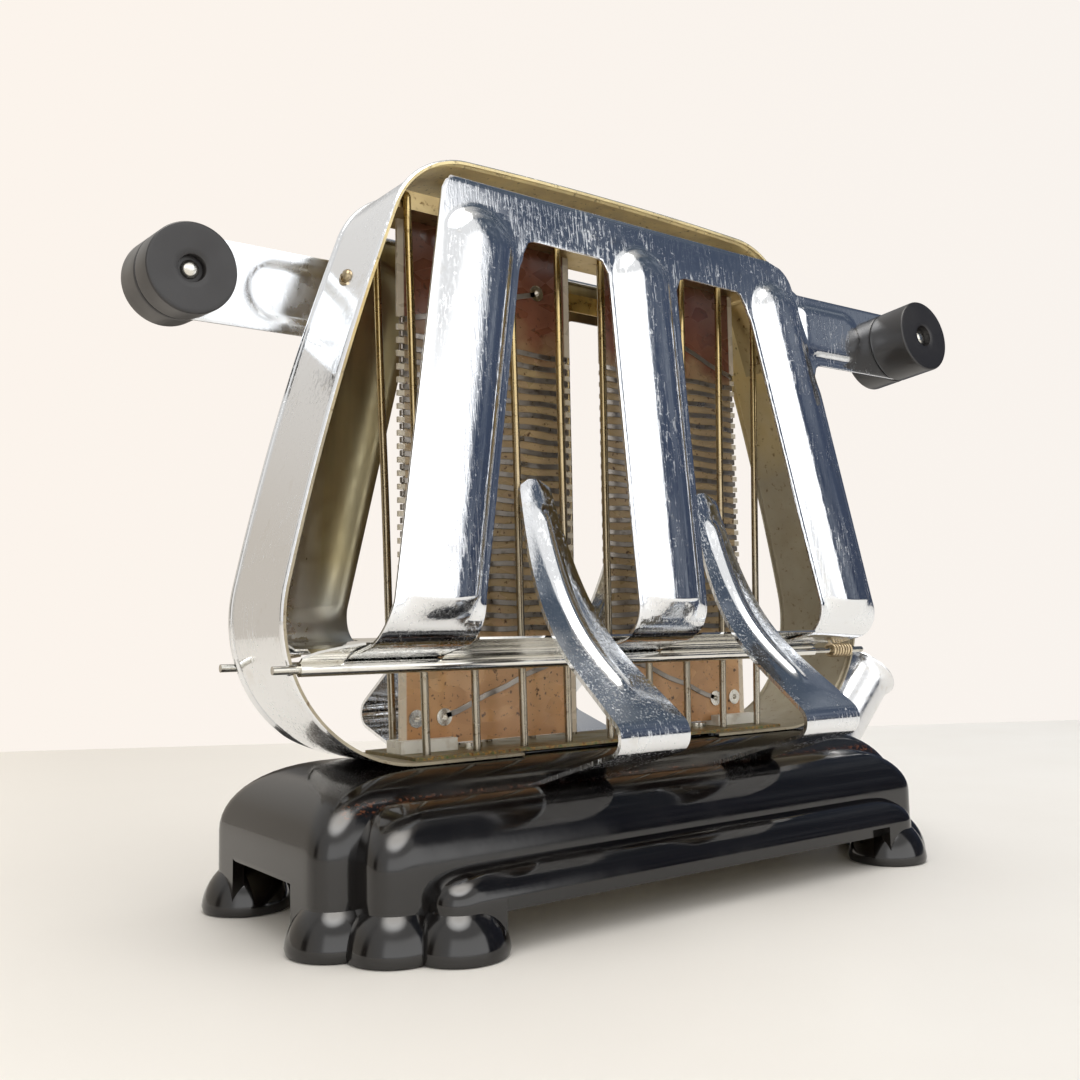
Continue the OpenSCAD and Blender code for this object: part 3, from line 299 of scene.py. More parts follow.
nickel_screw = bright("nickel plated screw", "#d6d3ca", 0.2)
brassy_screw = bright("brassy screw", "#9a8b70", 0.24)
drawn_rod = bright("drawn steel rod", "#c9c6bd", 0.2)
eyelet_metal = bright("tinned eyelet", "#dcd9d0", 0.22, "#3f352a", 0.5)
terminal_brass = bright("terminal brass", "#b99a56", 0.3)
spring_strip = bright("straw tinted spring steel", "#d2c0a0", 0.36)
spun_aluminium = bright("drawn aluminium", "#dfe0e2", 0.2, "#b0a58f", 0.3)
ribbon_metal = bright("oxidised resistance ribbon", "#9b958e", 0.36, "#4a4036", 0.6)
print("materials so far:", len(bpy.data.materials))

# %% [markdown]
# Phenolic resin filled with wood flour is pressed hot in a steel mould, nearly black with a brown depth. The mould
# leaves the base glossy, so its colour matters less than what it mirrors, and handling has made the knobs satin.
# Dust and crumbs gather in the groove between the bars: that needs only the distance from the groove's line.
# %% Finishes: phenolic moulding
GROOVE_Y, GROOVE_Z = 27.2, 29.5


def phenolic(name, code, rough_low, rough_high, crumbs):
    """Roughness from 14 mm smears, 0.7 mm brown specks, and crumbs within 3 mm of the groove if wanted."""
    m, t, s = material(name, IOR=1.6)
    spot = add(t, "TexCoord", out="Object")
    specks = add(t, "MapRange", add(t, "TexNoise", spot, 1 / (0.7 * MM), 2), 0.7, 0.76, 0, 0.5)
    tone = add(t, "Mix", specks, colour(code), colour("#3a2a20"), data_type="RGBA")
    if crumbs:
        side = add(t, "Math", add(t, "SeparateXYZ", spot, out="Y"), operation="ABSOLUTE")
        aside = add(t, "Math", side, GROOVE_Y * MM, operation="SUBTRACT")
        above = add(t, "Math", add(t, "SeparateXYZ", spot, out="Z"), GROOVE_Z * MM, operation="SUBTRACT")
        away = add(t, "Math", add(t, "Math", aside, operation="ABSOLUTE"),
                   add(t, "Math", above, operation="ABSOLUTE"))
        near = add(t, "MapRange", away, 0.6 * MM, 3.2 * MM, 1, 0)
        crumb = add(t, "MapRange", add(t, "TexNoise", spot, 1 / (1.1 * MM), 4, 0.65), 0.5, 0.62, 0, 1)
        dirt = add(t, "Math", near, crumb, operation="MULTIPLY")
        tone = add(t, "Mix", dirt, tone, colour("#6b3c20"), data_type="RGBA")
    smears = add(t, "TexNoise", spot, 1 / (14 * MM), 4)
    pores = add(t, "MapRange", add(t, "TexNoise", spot, 1 / (1.6 * MM), 3), 0.3, 0.8, 0, 0.05)
    waves = add(t, "Math", add(t, "TexNoise", spot, 1 / (30 * MM), 2), pores)
    add(t, s, Base_Color=tone, Roughness=add(t, "MapRange", smears, 0.4, 0.72, rough_low, rough_high),
        Normal=add(t, "Bump", Height=waves, Distance=0.3 * MM, Strength=0.3))
    return m


base_phenolic = phenolic("black phenolic moulding", "#0d0a09", 0.09, 0.22, True)
knob_phenolic = phenolic("matt phenolic moulding", "#1e1c1d", 0.3, 0.44, False)
print("mouldings:", base_phenolic.name, "and", knob_phenolic.name)

# %% [markdown]
# The wires are wound on mica, which stands the heat. The sheet is pressed from flakes: tan and freckled at
# its cool foot, olive behind the ribbon and dark red above it. The foot is painted paler than its own tan, painted
# light for the light that shines through the thin sheet there, and the cut edges are painted nearly white, a painted
# highlight where light comes through them.
# Cells of a Voronoi texture are a good stand-in for flakes, because each has its own even tone.
# %% Finishes: mica
CARD_MIDDLE, CARD_HALF = 33.05, 25.75


def mica():
    """A ramp over the height, darkened flake by flake (5 mm cells), with freckles; its pale stops at the foot are
    partly painted light through the sheet. The last 0.35 mm before the cut edges, CARD_HALF from the middle of
    each card, turns pale: a painted highlight of light through the edges."""
    m, t, s = material("pressed mica with painted light", IOR=1.56, Transmission_Weight=0.12)
    spot = add(t, "TexCoord", out="Object")
    flakes = add(t, "TexVoronoi", add(t, "Mapping", spot, Scale=(1, 1, 1.7)), 1 / (5 * MM), out="Color")
    tint = add(t, "SeparateColor", flakes)
    sway = add(t, "MapRange", add(t, "TexNoise", spot, 1 / (12 * MM), 4), 0.3, 0.7, -6 * MM, 6 * MM)
    height = add(t, "Math", add(t, "SeparateXYZ", spot, out="Z"), sway)
    # Painted light: the two lightest stops, at the foot, stand for light that shines through the thin sheet there.
    tone = add(t, "ValToRGB", add(t, "MapRange", height, 38 * MM, 172 * MM, 0, 1),
               stops=((0, "#d29c66"), (0.14, "#e0b17d"), (0.22, "#b8a077"), (0.74, "#ac966f"), (0.82, "#7c4a35"),
                      (1, "#5a3022")))
    layered = add(t, "Mix", add(t, "MapRange", tint, 0, 1, 0, 0.22), tone, colour("#8a5a40"), data_type="RGBA")
    freckles = add(t, "MapRange", add(t, "TexNoise", spot, 1 / (1.4 * MM), 3, 0.62), 0.62, 0.67, 0, 0.9)
    freckled = add(t, "Mix", freckles, layered, colour("#4a2a16"), data_type="RGBA")
    side = add(t, "Math", add(t, "SeparateXYZ", spot, out="X"), operation="ABSOLUTE")
    off_middle = add(t, "Math", side, CARD_MIDDLE * MM, operation="SUBTRACT")
    from_middle = add(t, "Math", off_middle, operation="ABSOLUTE")
    # Painted highlight: the pale band along the cut edges stands for light coming through them.
    painted_edge_light = add(t, "MapRange", from_middle, (CARD_HALF - 0.35) * MM, CARD_HALF * MM, 0, 0.8)
    add(t, s, Base_Color=add(t, "Mix", painted_edge_light, freckled, colour("#efe6d2"), data_type="RGBA"),
        Roughness=add(t, "MapRange", tint, 0, 1, 0.2, 0.42),
        Normal=add(t, "Bump", Height=tint, Distance=0.05 * MM, Strength=0.4))
    return m


mica_sheet = mica()
print("card finish:", mica_sheet.name)

# %% [markdown]
# Steatite is soapstone fired hard: matt off-white, finely pitted, with brown handling marks. The sole plate below
# it is plain steel gone grey olive, its front and rear edges strewn with crumbs. Single crumbs as meshes would cost
# thousands of faces, so they are grains of noise that turn off the metal and stand up a little in the bump.
# %% Finishes: steatite and the sole plate


def fired():
    """Off-white with 4 mm brown marks and a 0.5 mm grain."""
    m, t, s = material("white steatite", Roughness=0.6, IOR=1.55)
    spot = add(t, "TexCoord", out="Object")
    marks = add(t, "MapRange", add(t, "TexNoise", spot, 1 / (4 * MM), 4), 0.5, 0.75, 0, 0.6)
    pits = add(t, "TexNoise", spot, 1 / (0.5 * MM), 3)
    add(t, s, Base_Color=add(t, "Mix", marks, colour("#f0ede4"), colour("#b09a78"), data_type="RGBA"),
        Normal=add(t, "Bump", Height=pits, Distance=0.05 * MM, Strength=0.5))
    return m


def crumbed():
    """Grey olive steel. Where 0.9 mm noise plus a share that grows towards the edges passes 0.66 there is a crumb,
    ochre, brown or green."""
    m, t, s = material("sole plate steel")
    spot = add(t, "TexCoord", out="Object")
    side = add(t, "Math", add(t, "SeparateXYZ", spot, out="Y"), operation="ABSOLUTE")
    strewn = add(t, "MapRange", side, 3 * MM, 13 * MM, 0, 0.17)
    grains = add(t, "Math", add(t, "TexNoise", spot, 1 / (0.9 * MM), 3, 0.6), strewn)
    crumb = add(t, "MapRange", grains, 0.66, 0.7, 0, 1)
    kind = add(t, "ValToRGB", add(t, "TexNoise", spot, 1 / (1.7 * MM), 2),
               stops=((0.35, "#4d6a3c"), (0.5, "#b08a48"), (0.65, "#6d4420")))
    aged = add(t, "MapRange", add(t, "TexNoise", spot, 1 / (8 * MM), 4), 0.35, 0.7, 0, 1)
    steel = add(t, "Mix", aged, colour("#8f8668"), colour("#6e6446"), data_type="RGBA")
    add(t, s, Base_Color=add(t, "Mix", crumb, steel, kind, data_type="RGBA"),
        Metallic=add(t, "MapRange", crumb, 0, 1, 0.75, 0),
        Roughness=add(t, "MapRange", add(t, "TexNoise", spot, 1 / (5 * MM), 3), 0.3, 0.7, 0.38, 0.6),
        Normal=add(t, "Bump", Height=crumb, Distance=0.25 * MM, Strength=0.5))
    return m


steatite = fired()
sole_steel = crumbed()
print("materials:", len(bpy.data.materials))

# %% [markdown]
# The base is one moulding that looks like three bars, one in the other, each with its upper edge rolled over in an
# elliptical arc. It could be bevelled boxes joined by a Boolean, but a Boolean leaves ragged edges in a gloss
# surface. Here each bar is its own closed shell, and where two polished shells pass through each other the groove
# comes out crisp.
# %% Base: the bars
WALL = 2.8
LEG_GAP, LEG_END, SKIRT = 63.5, 16, 10.7


def bar_ring(half_x, half_y, radius, stops_x, stops_y):
    """Rectangle with round corners, counter-clockwise. Stops are shares of its straight sides, so that the
    rings of one bar have points that match one another."""
    quarter = np.linspace(0, math.pi / 2, 11)
    corner = radius * np.stack([np.cos(quarter), np.sin(quarter)], -1)
    w, h = half_x - radius, half_y - radius
    right = np.stack([np.full(len(stops_y), half_x), stops_y * h], -1)
    upper = np.stack([-stops_x * w, np.full(len(stops_x), half_y)], -1)
    swap = corner[:, ::-1] * [-1, 1]
    return np.concatenate([right, corner + [w, h], upper, swap + [-w, h], -right, -corner - [w, h], -upper,
                           -swap + [w, -h]])


def bar(half, top, side, rise, corner, others):
    """Shell of one bar. Row by row: up the inside from its middle, round the lip, up the outside to the top.
    Over the rounded edge, at angle a, the half sizes shrink by side (1 - cos a) and the height is
    top - rise + rise sin a."""
    w, h = half[0] - corner, half[1] - corner
    stops = [np.unique(np.clip(np.concatenate([np.linspace(-1, 1, n), [s * g / size for s in (-1, 1) for g in gap]]),
                               -1, 1))[1:-1] for n, gap, size in
             ((61, (LEG_GAP, LEG_GAP + 0.3), w), (27, (LEG_END, LEG_END + 0.3), h))]
    base = bar_ring(half[0], half[1], corner, *stops)
    x, y = np.abs(base[:, 0]), np.abs(base[:, 1])
    lip = np.where((x < LEG_GAP + 0.1) & (y > 20), SKIRT, 0.0)
    lip = np.where((y < LEG_END + 0.1) & (x > LEG_GAP), SKIRT + 2.3, lip)
    for other in others:
        lip = np.where((x < other[0] - 1) & (y < other[1] - 1), SKIRT + 3.5, lip)
    rows = []

    def level(inset, fall, z, share=1.0):
        r = max(corner * (1 + 0.36 * fall) - inset, 2.5)
        ring = bar_ring(half[0] - inset - side[0] * fall, half[1] - inset - side[1] * fall, r, *stops)
        rows.append(np.column_stack([ring * share, z * np.ones(len(ring))]))

    def climb(inset):
        edge = top - inset - rise
        for f in np.linspace(0, 1, 8)[1:]:
            level(inset, 0, lip + 0.8 + (edge - lip - 0.8) * f)
        for a in np.linspace(0, math.pi / 2, 15)[1:]:
            level(inset, 1 - math.cos(a), edge + rise * math.sin(a))
        for f in (0.8, 0.5, 0.2):
            level(inset, 1, top - inset, f)

    climb(WALL)
    rows.reverse()
    for inset, lift in ((WALL, 0.7), (WALL - 0.2, 0.2), (WALL - 0.7, 0), (0.7, 0), (0.2, 0.2), (0, 0.7)):
        level(inset, 0, lip + lift)
    climb(0)
    return skin(np.array(rows))


BARS = {"base_long_bar": ([96, 30.4], 35, (20, 18.4), 16), "base_second_bar": ([88.3, 41.8], 29.5, (13, 13), 12),
        "base_outer_bar": ([77.7, 49.6], 17.3, (7.5, 7.5), 6.6)}
for bar_name, (bar_half, bar_top, bar_side, bar_rise) in BARS.items():
    others = [other[0] for name, other in BARS.items() if name != bar_name]
    bar_points, bar_faces = bar(bar_half, bar_top, bar_side, bar_rise, 6.6, others)
    make_piece(bar_name, bar_points, bar_faces, base_phenolic, "base_moulding", replaces=["base_shell"])

# %% [markdown]
# Twelve toes, three at each corner, are quarter-round knobs that grow out of the moulding and carry it. A toe is
# round, so it is half a profile turned about its own axis and then set in twelve places. A low pad on top of the
# long bar is where the sole plate lies.
# %% Base: the toes
TOE_RADIUS, TOE_HEIGHT = 10.64, 12
TOES = np.array([[89.35, 23.8], [81.67, 35.18], [71.02, 42.92]])
turn = np.linspace(0, math.pi / 2, 14)
toe_profile = np.concatenate([[[0, 0], [TOE_RADIUS - 1.1, 0], [TOE_RADIUS - 0.35, 0.3]],
                              np.stack([TOE_RADIUS * np.cos(turn), TOE_HEIGHT * np.sin(turn)], -1)[1:]])
toe_shape = revolve(toe_profile, 48)
toe_places = [np.array([x * t[0], y * t[1], 0]) for t in TOES for x in (-1, 1) for y in (-1, 1)]
toe_points, toe_faces = join(*[(toe_shape[0] + p, toe_shape[1]) for p in toe_places])
make_piece("base_toes", toe_points, toe_faces, base_phenolic, "base_moulding", replaces=["base_shell"])
few = np.linspace(-0.9, 0.9, 5)
pad = bar_ring(33, 11, 3, few, few)
pad_levels = [np.column_stack([pad * k, np.full(len(pad), z)]) for k, z in
              ((1, 34.2), (1, 35.5), (0.99, 35.66), (0.975, 35.7))]
make_piece("base_pad", *skin(np.array(pad_levels)), base_phenolic, "base_moulding", replaces=["base_shell"])

# %% [markdown]
# The frame is one band of steel strip bent round a former and plated. Its two edges are rolled up into a bead, which
# keeps it from springing. A curve with a bevel would do for a plain strip. The notches for the hinge rods and the
# bead that fades out at the foot need more, so a closed section is carried along an outline of tangent arcs. The
# faces that look inwards take a heat tinted finish, with painted light making it paler at the crown.
# %% Frame band
BAND_HALF, BAND_SHEET, BEAD, BEAD_HIGH = 15.35, 0.7, 2.0, 0.6
FOOT_ARC, FLANK_ARC, SHOULDER_ARC = 34, 706, 23
FLANK_FROM, FLANK_TO, SHOULDER_TO = 13, 20, 87.8
ROD_Y, ROD_Z = 15.0, 58.0


def arc(centre, radius, angles):
    """Points centre + radius (cos a, sin a), with the angles in degrees."""
    a = np.radians(angles)
    return np.stack([centre[0] + radius * np.cos(a), centre[1] + radius * np.sin(a)], -1)


def band_outline():
    """Outer face of the band and its normals, from one foot over the crown to the other: a small arc up from the
    foot, a long one up the flank, a straight piece, the shoulder's arc and the crown's, tangent to tangent."""
    d = lambda a: np.array([math.cos(math.radians(a)), math.sin(math.radians(a))])
    foot_middle = np.array([63.4, 69.0])
    flank_middle = foot_middle + (FOOT_ARC - FLANK_ARC) * d(FLANK_FROM)
    start = flank_middle + FLANK_ARC * d(FLANK_TO) + 8.2 * d(FLANK_TO + 90)
    shoulder_middle = start - SHOULDER_ARC * d(FLANK_TO)
    end = shoulder_middle + SHOULDER_ARC * d(SHOULDER_TO)
    crown_arc = end[0] / math.cos(math.radians(SHOULDER_TO))
    crown_middle = np.array([0, end[1] - crown_arc * math.sin(math.radians(SHOULDER_TO))])
    slot = np.degrees(np.arcsin((ROD_Z + np.array([-1.05, 1.05]) - foot_middle[1]) / FOOT_ARC))
    first = np.concatenate([np.linspace(-90, slot[0], 44), slot[0] + [0.02], slot[1] - [0.02],
                            np.linspace(slot[1], FLANK_FROM, 24)])
    runs = [(foot_middle, FOOT_ARC, first), (flank_middle, FLANK_ARC, np.linspace(FLANK_FROM + 0.25, FLANK_TO, 28)),
            (shoulder_middle, SHOULDER_ARC, np.linspace(FLANK_TO + 1.5, SHOULDER_TO, 30)),
            (crown_middle, crown_arc, np.linspace(SHOULDER_TO + 0.3, 90, 20))]
    points = np.concatenate([arc(c, r, a) for c, r, a in runs])
    normals = np.concatenate([arc([0, 0], 1, a) for c, r, a in runs])
    foot = np.column_stack([np.linspace(34, 62.5, 12), np.full(12, 35.0)])
    points = np.concatenate([foot, points])
    normals = np.concatenate([np.tile([0, -1.0], (12, 1)), normals])
    mirror = slice(None, -1)
    return (np.concatenate([points, points[mirror][::-1] * [-1, 1]]),
            np.concatenate([normals, normals[mirror][::-1] * [-1, 1]]))


def bead_height(y, full):
    """Rise of the edge above the sheet: a half wave over the last BEAD mm, full at its middle."""
    inner = BAND_HALF - BEAD
    return full * np.sin(np.clip((np.abs(y) - inner) / BEAD, 0, 1) * math.pi) ** 0.8


line, normal = band_outline()
across = np.concatenate([np.linspace(0, 12.6, 9)[:-1], np.linspace(12.6, BAND_HALF, 15)])
across = np.concatenate([-across[:0:-1], across])
fade = smoothstep((line[:, 1] - 36.5) / 6)[:, None]
rise = bead_height(across, BEAD_HIGH)[None, :] * fade
in_slot = np.abs(line[:, 1] - ROD_Z) < 1.049
reach = np.where(in_slot, ROD_Y - 1.05, BAND_HALF)[:, None]
spread = np.clip(across[None, :], -reach, reach)
outer = line[:, None, :] + normal[:, None, :] * rise[..., None]
inner = line[:, None, :] + normal[:, None, :] * (rise - BAND_SHEET)[..., None]
outer = np.stack([outer[..., 0], spread, outer[..., 1]], -1)
inner = np.stack([inner[..., 0], spread, inner[..., 1]], -1)
band_points, band_faces = skin(np.concatenate([outer, inner[:, ::-1]], 1))
side_of_face = np.tile(np.arange(2 * len(across)) >= len(across), len(line) - 1)
make_piece("frame_band_plated", band_points, band_faces, [polished_chrome, band_inside_tint_and_painted_light], "chromed_sheet",
           replaces=["frame_band"], parts=np.concatenate([side_of_face, [0, 0]]))

# %% [markdown]
# A slotted round-head screw sits on each flank of the band. Its head is a low dome with a saw cut across it. The
# cut could be a Boolean; on a fine polar grid it is simply where the height drops.
# %% Frame screws
FLANK, FLANK_TILT, SLOT_TURN = (74.552, 152.3), math.radians(19.397), math.radians(35)


def screw_shape(radius=2.2, high=1.3, slot_half=0.4, slot_deep=0.65):
    """Dome of height high (1 - (r / radius) ** 2.6) ** 0.5 over a polar grid, less slot_deep where a point is within
    slot_half of the X axis, then the head's underside and the shank."""
    r = np.concatenate([np.linspace(0.02, 0.97, 30), [0.99, 1.0]]) * radius
    a = np.linspace(0, 2 * math.pi, 120, endpoint=False)
    x, y = np.outer(r, np.cos(a)), np.outer(r, np.sin(a))
    dome = high * np.sqrt(np.clip(1 - (np.hypot(x, y) / radius) ** 2.6, 0, 1))
    cut = slot_deep * smoothstep((slot_half + 0.05 - np.abs(y)) / 0.1)
    rings = [np.stack([x, y, np.maximum(dome - cut, 0.05)], -1)]
    for shank, z in ((radius, -0.15), (1.45, -0.15), (1.45, -3.9), (1.2, -4.0)):
        rings.append(np.column_stack([shank * np.cos(a), shank * np.sin(a), np.full(len(a), z)])[None])
    return skin(np.concatenate(rings), flip=True)


def flank_frame(points):
    """From the screw's own frame, whose Z points out of the right flank, to the toaster's frame."""
    x, y, z = np.moveaxis(np.asarray(points), -1, 0)
    x, y = x * math.cos(SLOT_TURN) - y * math.sin(SLOT_TURN), x * math.sin(SLOT_TURN) + y * math.cos(SLOT_TURN)
    return np.stack([FLANK[0] + z * math.cos(FLANK_TILT) + x * math.sin(FLANK_TILT), y,
                     FLANK[1] + z * math.sin(FLANK_TILT) - x * math.cos(FLANK_TILT)], -1)


screw_points, screw_faces = screw_shape()
screw_points = flank_frame(screw_points)
make_piece("frame_screw_heads", *join((screw_points, screw_faces), (turned(screw_points), screw_faces)),
           brassy_screw, "bright_steel", replaces=["frame_screws"], smooth=35)

# %% [markdown]
# A door is one sheet, cut, pressed and curled. Boxes with bevels would miss the soft pressing that makes the
# reflections, so it is worked out as the press made it, from a flat grid. Three formulas share that work: where a
# row lies along the bent sheet, how far the pressing stands out there, and where the outline runs. A last one
# leans the door on its hinge. Heights are measured up the door from the hinge rod's axis.
# %% Door: sizes and place
HINGE = np.array([0, -ROD_Y, ROD_Z])
LEAN = math.radians(5.65)
SHEET, OFFSET = 0.7, 20.1
FOOT, LENGTH, WINDOW = 12.5, 113.6, 102.0
ARM_LOW, ARM_HIGH, CREASE, ARM_TURN = 84.3, 105.5, 66.0, math.radians(1.5)
KNOB_X = 106.1
CURL, RING = 9.0, 1.975
CHANNEL_HALF, CHANNEL_HIGH, CHANNEL_TOP, CHANNEL_LEAN, CHANNEL_APART = 9.5, 3.3, 97.5, 0.1955, 71.4
SLAT_EDGE, SLAT_LEAN, GAP_EDGE, GAP_LEAN = 82.9, 0.191, 59.9, 0.2
ARM_BAND, SHORT_FOOT, FOOT_SHEET = 5, 20.6, 27.2


def door_place(x, out, up):
    """From the door's own x, distance out from the hinge and height up the door to the toaster's frame."""
    y = -out * math.cos(LEAN) + up * math.sin(LEAN)
    z = out * math.sin(LEAN) + up * math.cos(LEAN)
    return np.stack([x, y, z], -1) + HINGE


print("middle of the upper edge in mm:", door_place(0, OFFSET, LENGTH).round(1))

# %% [markdown]
# Below the slats the real sheet is rolled in a curling die: inwards, flat to the hinge tube, and round it. A simple
# deform modifier bends by one radius only. With the length along the sheet as the coordinate, an arc, a straight
# line and another arc follow each other, and each row knows its place and which way its outer face looks.
# %% Door: the path along the sheet


def sheet_path(t):
    """Place and outward normal (out, up) of the sheet's middle at length t; t = height between FOOT and LENGTH.
    Below FOOT it follows the curl, the straight tab and the ring round the tube; above LENGTH a small roll. The
    curl ends where its tangent, the tab, just touches the ring."""
    centre = np.array([OFFSET - CURL, FOOT])
    psi = math.atan2(centre[0], centre[1])
    turn = psi + math.asin((CURL + RING) / math.hypot(*centre))
    end = centre + CURL * np.array([math.cos(turn), -math.sin(turn)])
    way = np.array([-math.sin(turn), -math.cos(turn)])
    tab = -(end @ way)
    down = np.clip(FOOT - t, 0, None)
    a = np.minimum(down / CURL, turn)
    place = centre + CURL * np.stack([np.cos(a), -np.sin(a)], -1)
    face = np.stack([np.cos(a), -np.sin(a)], -1)
    past = np.clip(down - CURL * turn, 0, tab)
    place = place + past[..., None] * way
    b = np.clip(down - CURL * turn - tab, 0, None) / RING
    spin = turn - b
    on_ring = (b > 0)[..., None]
    ring = RING * np.stack([-np.cos(spin), np.sin(spin)], -1)
    place = np.where(on_ring, ring, place)
    face = np.where(on_ring, np.stack([np.cos(spin), -np.sin(spin)], -1), face)
    high = np.clip(t - LENGTH, 0, None)
    straight = np.stack([np.full_like(t, OFFSET), np.minimum(t, LENGTH)], -1)
    roll = high / 0.9
    curl_in = np.stack([OFFSET - 0.9 + 0.9 * np.cos(roll), LENGTH - 0.3 + 0.9 * np.sin(roll)], -1)
    upper = np.where((high > 0)[..., None], curl_in, straight)
    upper_face = np.where((high > 0)[..., None], np.stack([np.cos(roll), np.sin(roll)], -1), [1.0, 0.0])
    low = (t < FOOT)[..., None]
    return np.where(low, place, upper), np.where(low, face, upper_face)


print("the lowest row lies at (out, up) in mm:", sheet_path(np.array([FOOT - FOOT_SHEET]))[0][0].round(2))

# %% [markdown]
# Each slat has a channel pressed into it for stiffness, flat at its crown and tight at its shoulders, which is what
# sends one bright line up the slat. Sculpting it would leave lumps in the reflection. The rise depends only on the
# distance from the channel's middle line, so the same formula also rounds the channel's upper end.
# %% Door: the pressing


def ridge(distance, half, high, blend=0.35):
    """Height of a channel of half width half at a distance from its middle line: high (1 - (d / half) ** 3.2), a
    crown that is nearly flat in the middle, its foot rounded where it would go below the sheet."""
    crown = high * (1 - (distance / half) ** 3.2)
    return 0.99 * 0.5 * (crown + np.sqrt(crown ** 2 + blend ** 2)) - 0.02 * smoothstep((half + 4 - distance) / 4)


def to_segment(x, s, high, slope, foot_x):
    """Distance from (x, s) to the line up a slat, which leans by slope from foot_x at height 0 and ends at high."""
    way = np.array([-slope, 1.0]) / math.hypot(slope, 1)
    along = np.minimum((x - foot_x) * way[0] + s * way[1], high * math.hypot(slope, 1))
    return np.hypot(x - foot_x - along * way[0], s - along * way[1])


def pressing(x, t):
    """How far the pressed sheet stands out of its plane at length t: three round channels and the arm's panel.
    A channel of height r is folded back at the crease, t = FOOT + 0.49 (CHANNEL_HIGH - r), and runs out below it as
    r (1 - d / 5) ** 1.8, where d is the length below the crease."""
    s = np.clip(t, 0, LENGTH)
    total = np.zeros_like(x)
    for k in (-1, 0, 1):
        middle_line = to_segment(x, s, CHANNEL_TOP, CHANNEL_LEAN * k, CHANNEL_APART * k)
        high = ridge(middle_line, CHANNEL_HALF, CHANNEL_HIGH)
        below = FOOT + 0.49 * (CHANNEL_HIGH - high) - t
        total += high * np.clip(1 - np.clip(below, 0, None) / 5, 0, 1) ** 1.8
    panel = np.hypot(x - np.clip(x, 60, 82), s - (ARM_LOW + ARM_HIGH) / 2)
    total += 1.0 * smoothstep((8.2 - panel) / 2.2) * smoothstep((x - 61) / 4)
    bend = 0.5 * ((x - CREASE) + np.sqrt((x - CREASE) ** 2 + 1.5)) * math.tan(ARM_TURN)
    return total + bend


print("rise of a channel's crown in mm:", round(float(ridge(0.0, CHANNEL_HALF, CHANNEL_HIGH)), 2))

# %% [markdown]
# The outline is cut from the flat sheet. A Boolean cut would leave long thin faces and pinched shading round each
# window. Here every row of the grid is divided at the edges of the slats, so the cuts fall on grid lines and all
# faces have four sides. Where a corner is round, the rows near it slide down a little.
# %% Door: the outline


def slat_edge(s):
    """Outer edge of a side slat at height s, from the middle of the door."""
    return SLAT_EDGE - SLAT_LEAN * s


def gap_edge(s):
    """Inner edge of a side slat at height s."""
    return GAP_EDGE - GAP_LEAN * s


def middle_edge(s):
    """Edge of the middle slat, which grows by 0.5 mm up to the windows' upper edge."""
    return 11.6 + 0.5 * np.clip(s, 0, WINDOW) / WINDOW


def door_sheet():
    """Grid of the flat sheet: x and the length t of each point, the band that each column of cells belongs to (left
    slat, window, middle slat, window, right slat, arm), and the rows' lengths."""
    heights = np.concatenate([FOOT - np.linspace(FOOT_SHEET, 4.2, 38)[:-1],
                              FOOT + np.linspace(-4.2, 2.1, 22)[:-1],
                              np.linspace(FOOT + 2.1, ARM_LOW, 62)[:-1],
                              np.linspace(ARM_LOW, WINDOW, 18)[:-1], np.linspace(WINDOW, ARM_HIGH, 5)[:-1],
                              np.linspace(ARM_HIGH, LENGTH, 9)[:-1], LENGTH + np.linspace(0, 2.6, 7)])
    bands = [(0, 24), (1, 16), (2, 22), (3, 16), (4, 24), (ARM_BAND, 40)]
    t = heights[:, None]
    s = np.clip(t, 0, LENGTH)
    corner_left = 61.3 - 2.5 + np.sqrt(np.clip(2.5 ** 2 - np.clip(s - (LENGTH - 2.5), 0, 2.5) ** 2, 0, None))
    left = -np.where(s > LENGTH - 2.5, corner_left, slat_edge(s))
    corner_right = 52 + np.sqrt(np.clip(81 - np.clip(s - (LENGTH - 9), 0, 9) ** 2, 0, None))
    right = np.where(s > ARM_HIGH + 0.01, corner_right, slat_edge(s))
    stops = [left, -gap_edge(s), -middle_edge(s), middle_edge(s), gap_edge(s), right]
    low = s < FOOT
    flare = (s / FOOT) ** 2
    for k, edge in ((0, 2.4 * flare - SLAT_EDGE), (1, 0.6 * flare - 58), (4, 58 - 0.6 * flare),
                    (ARM_BAND, SLAT_EDGE - 2.4 * flare)):
        stops[k] = np.where(low, edge, stops[k])
    away = np.clip(s - (ARM_LOW + ARM_HIGH) / 2, -10.59, 10.59)
    far = KNOB_X + np.sqrt(10.6 ** 2 - away ** 2)
    stops.append(far)
    x, owner = [], []
    for k, count in bands:
        f = np.linspace(0, 1, count + 1)[:None if k == ARM_BAND else -1]
        x.append(stops[k] + (stops[k + 1] - stops[k]) * f)
        owner += [k] * count
    x = np.concatenate(x, 1)
    t = np.repeat(t, x.shape[1], 1)
    return x, t, np.array(owner), heights


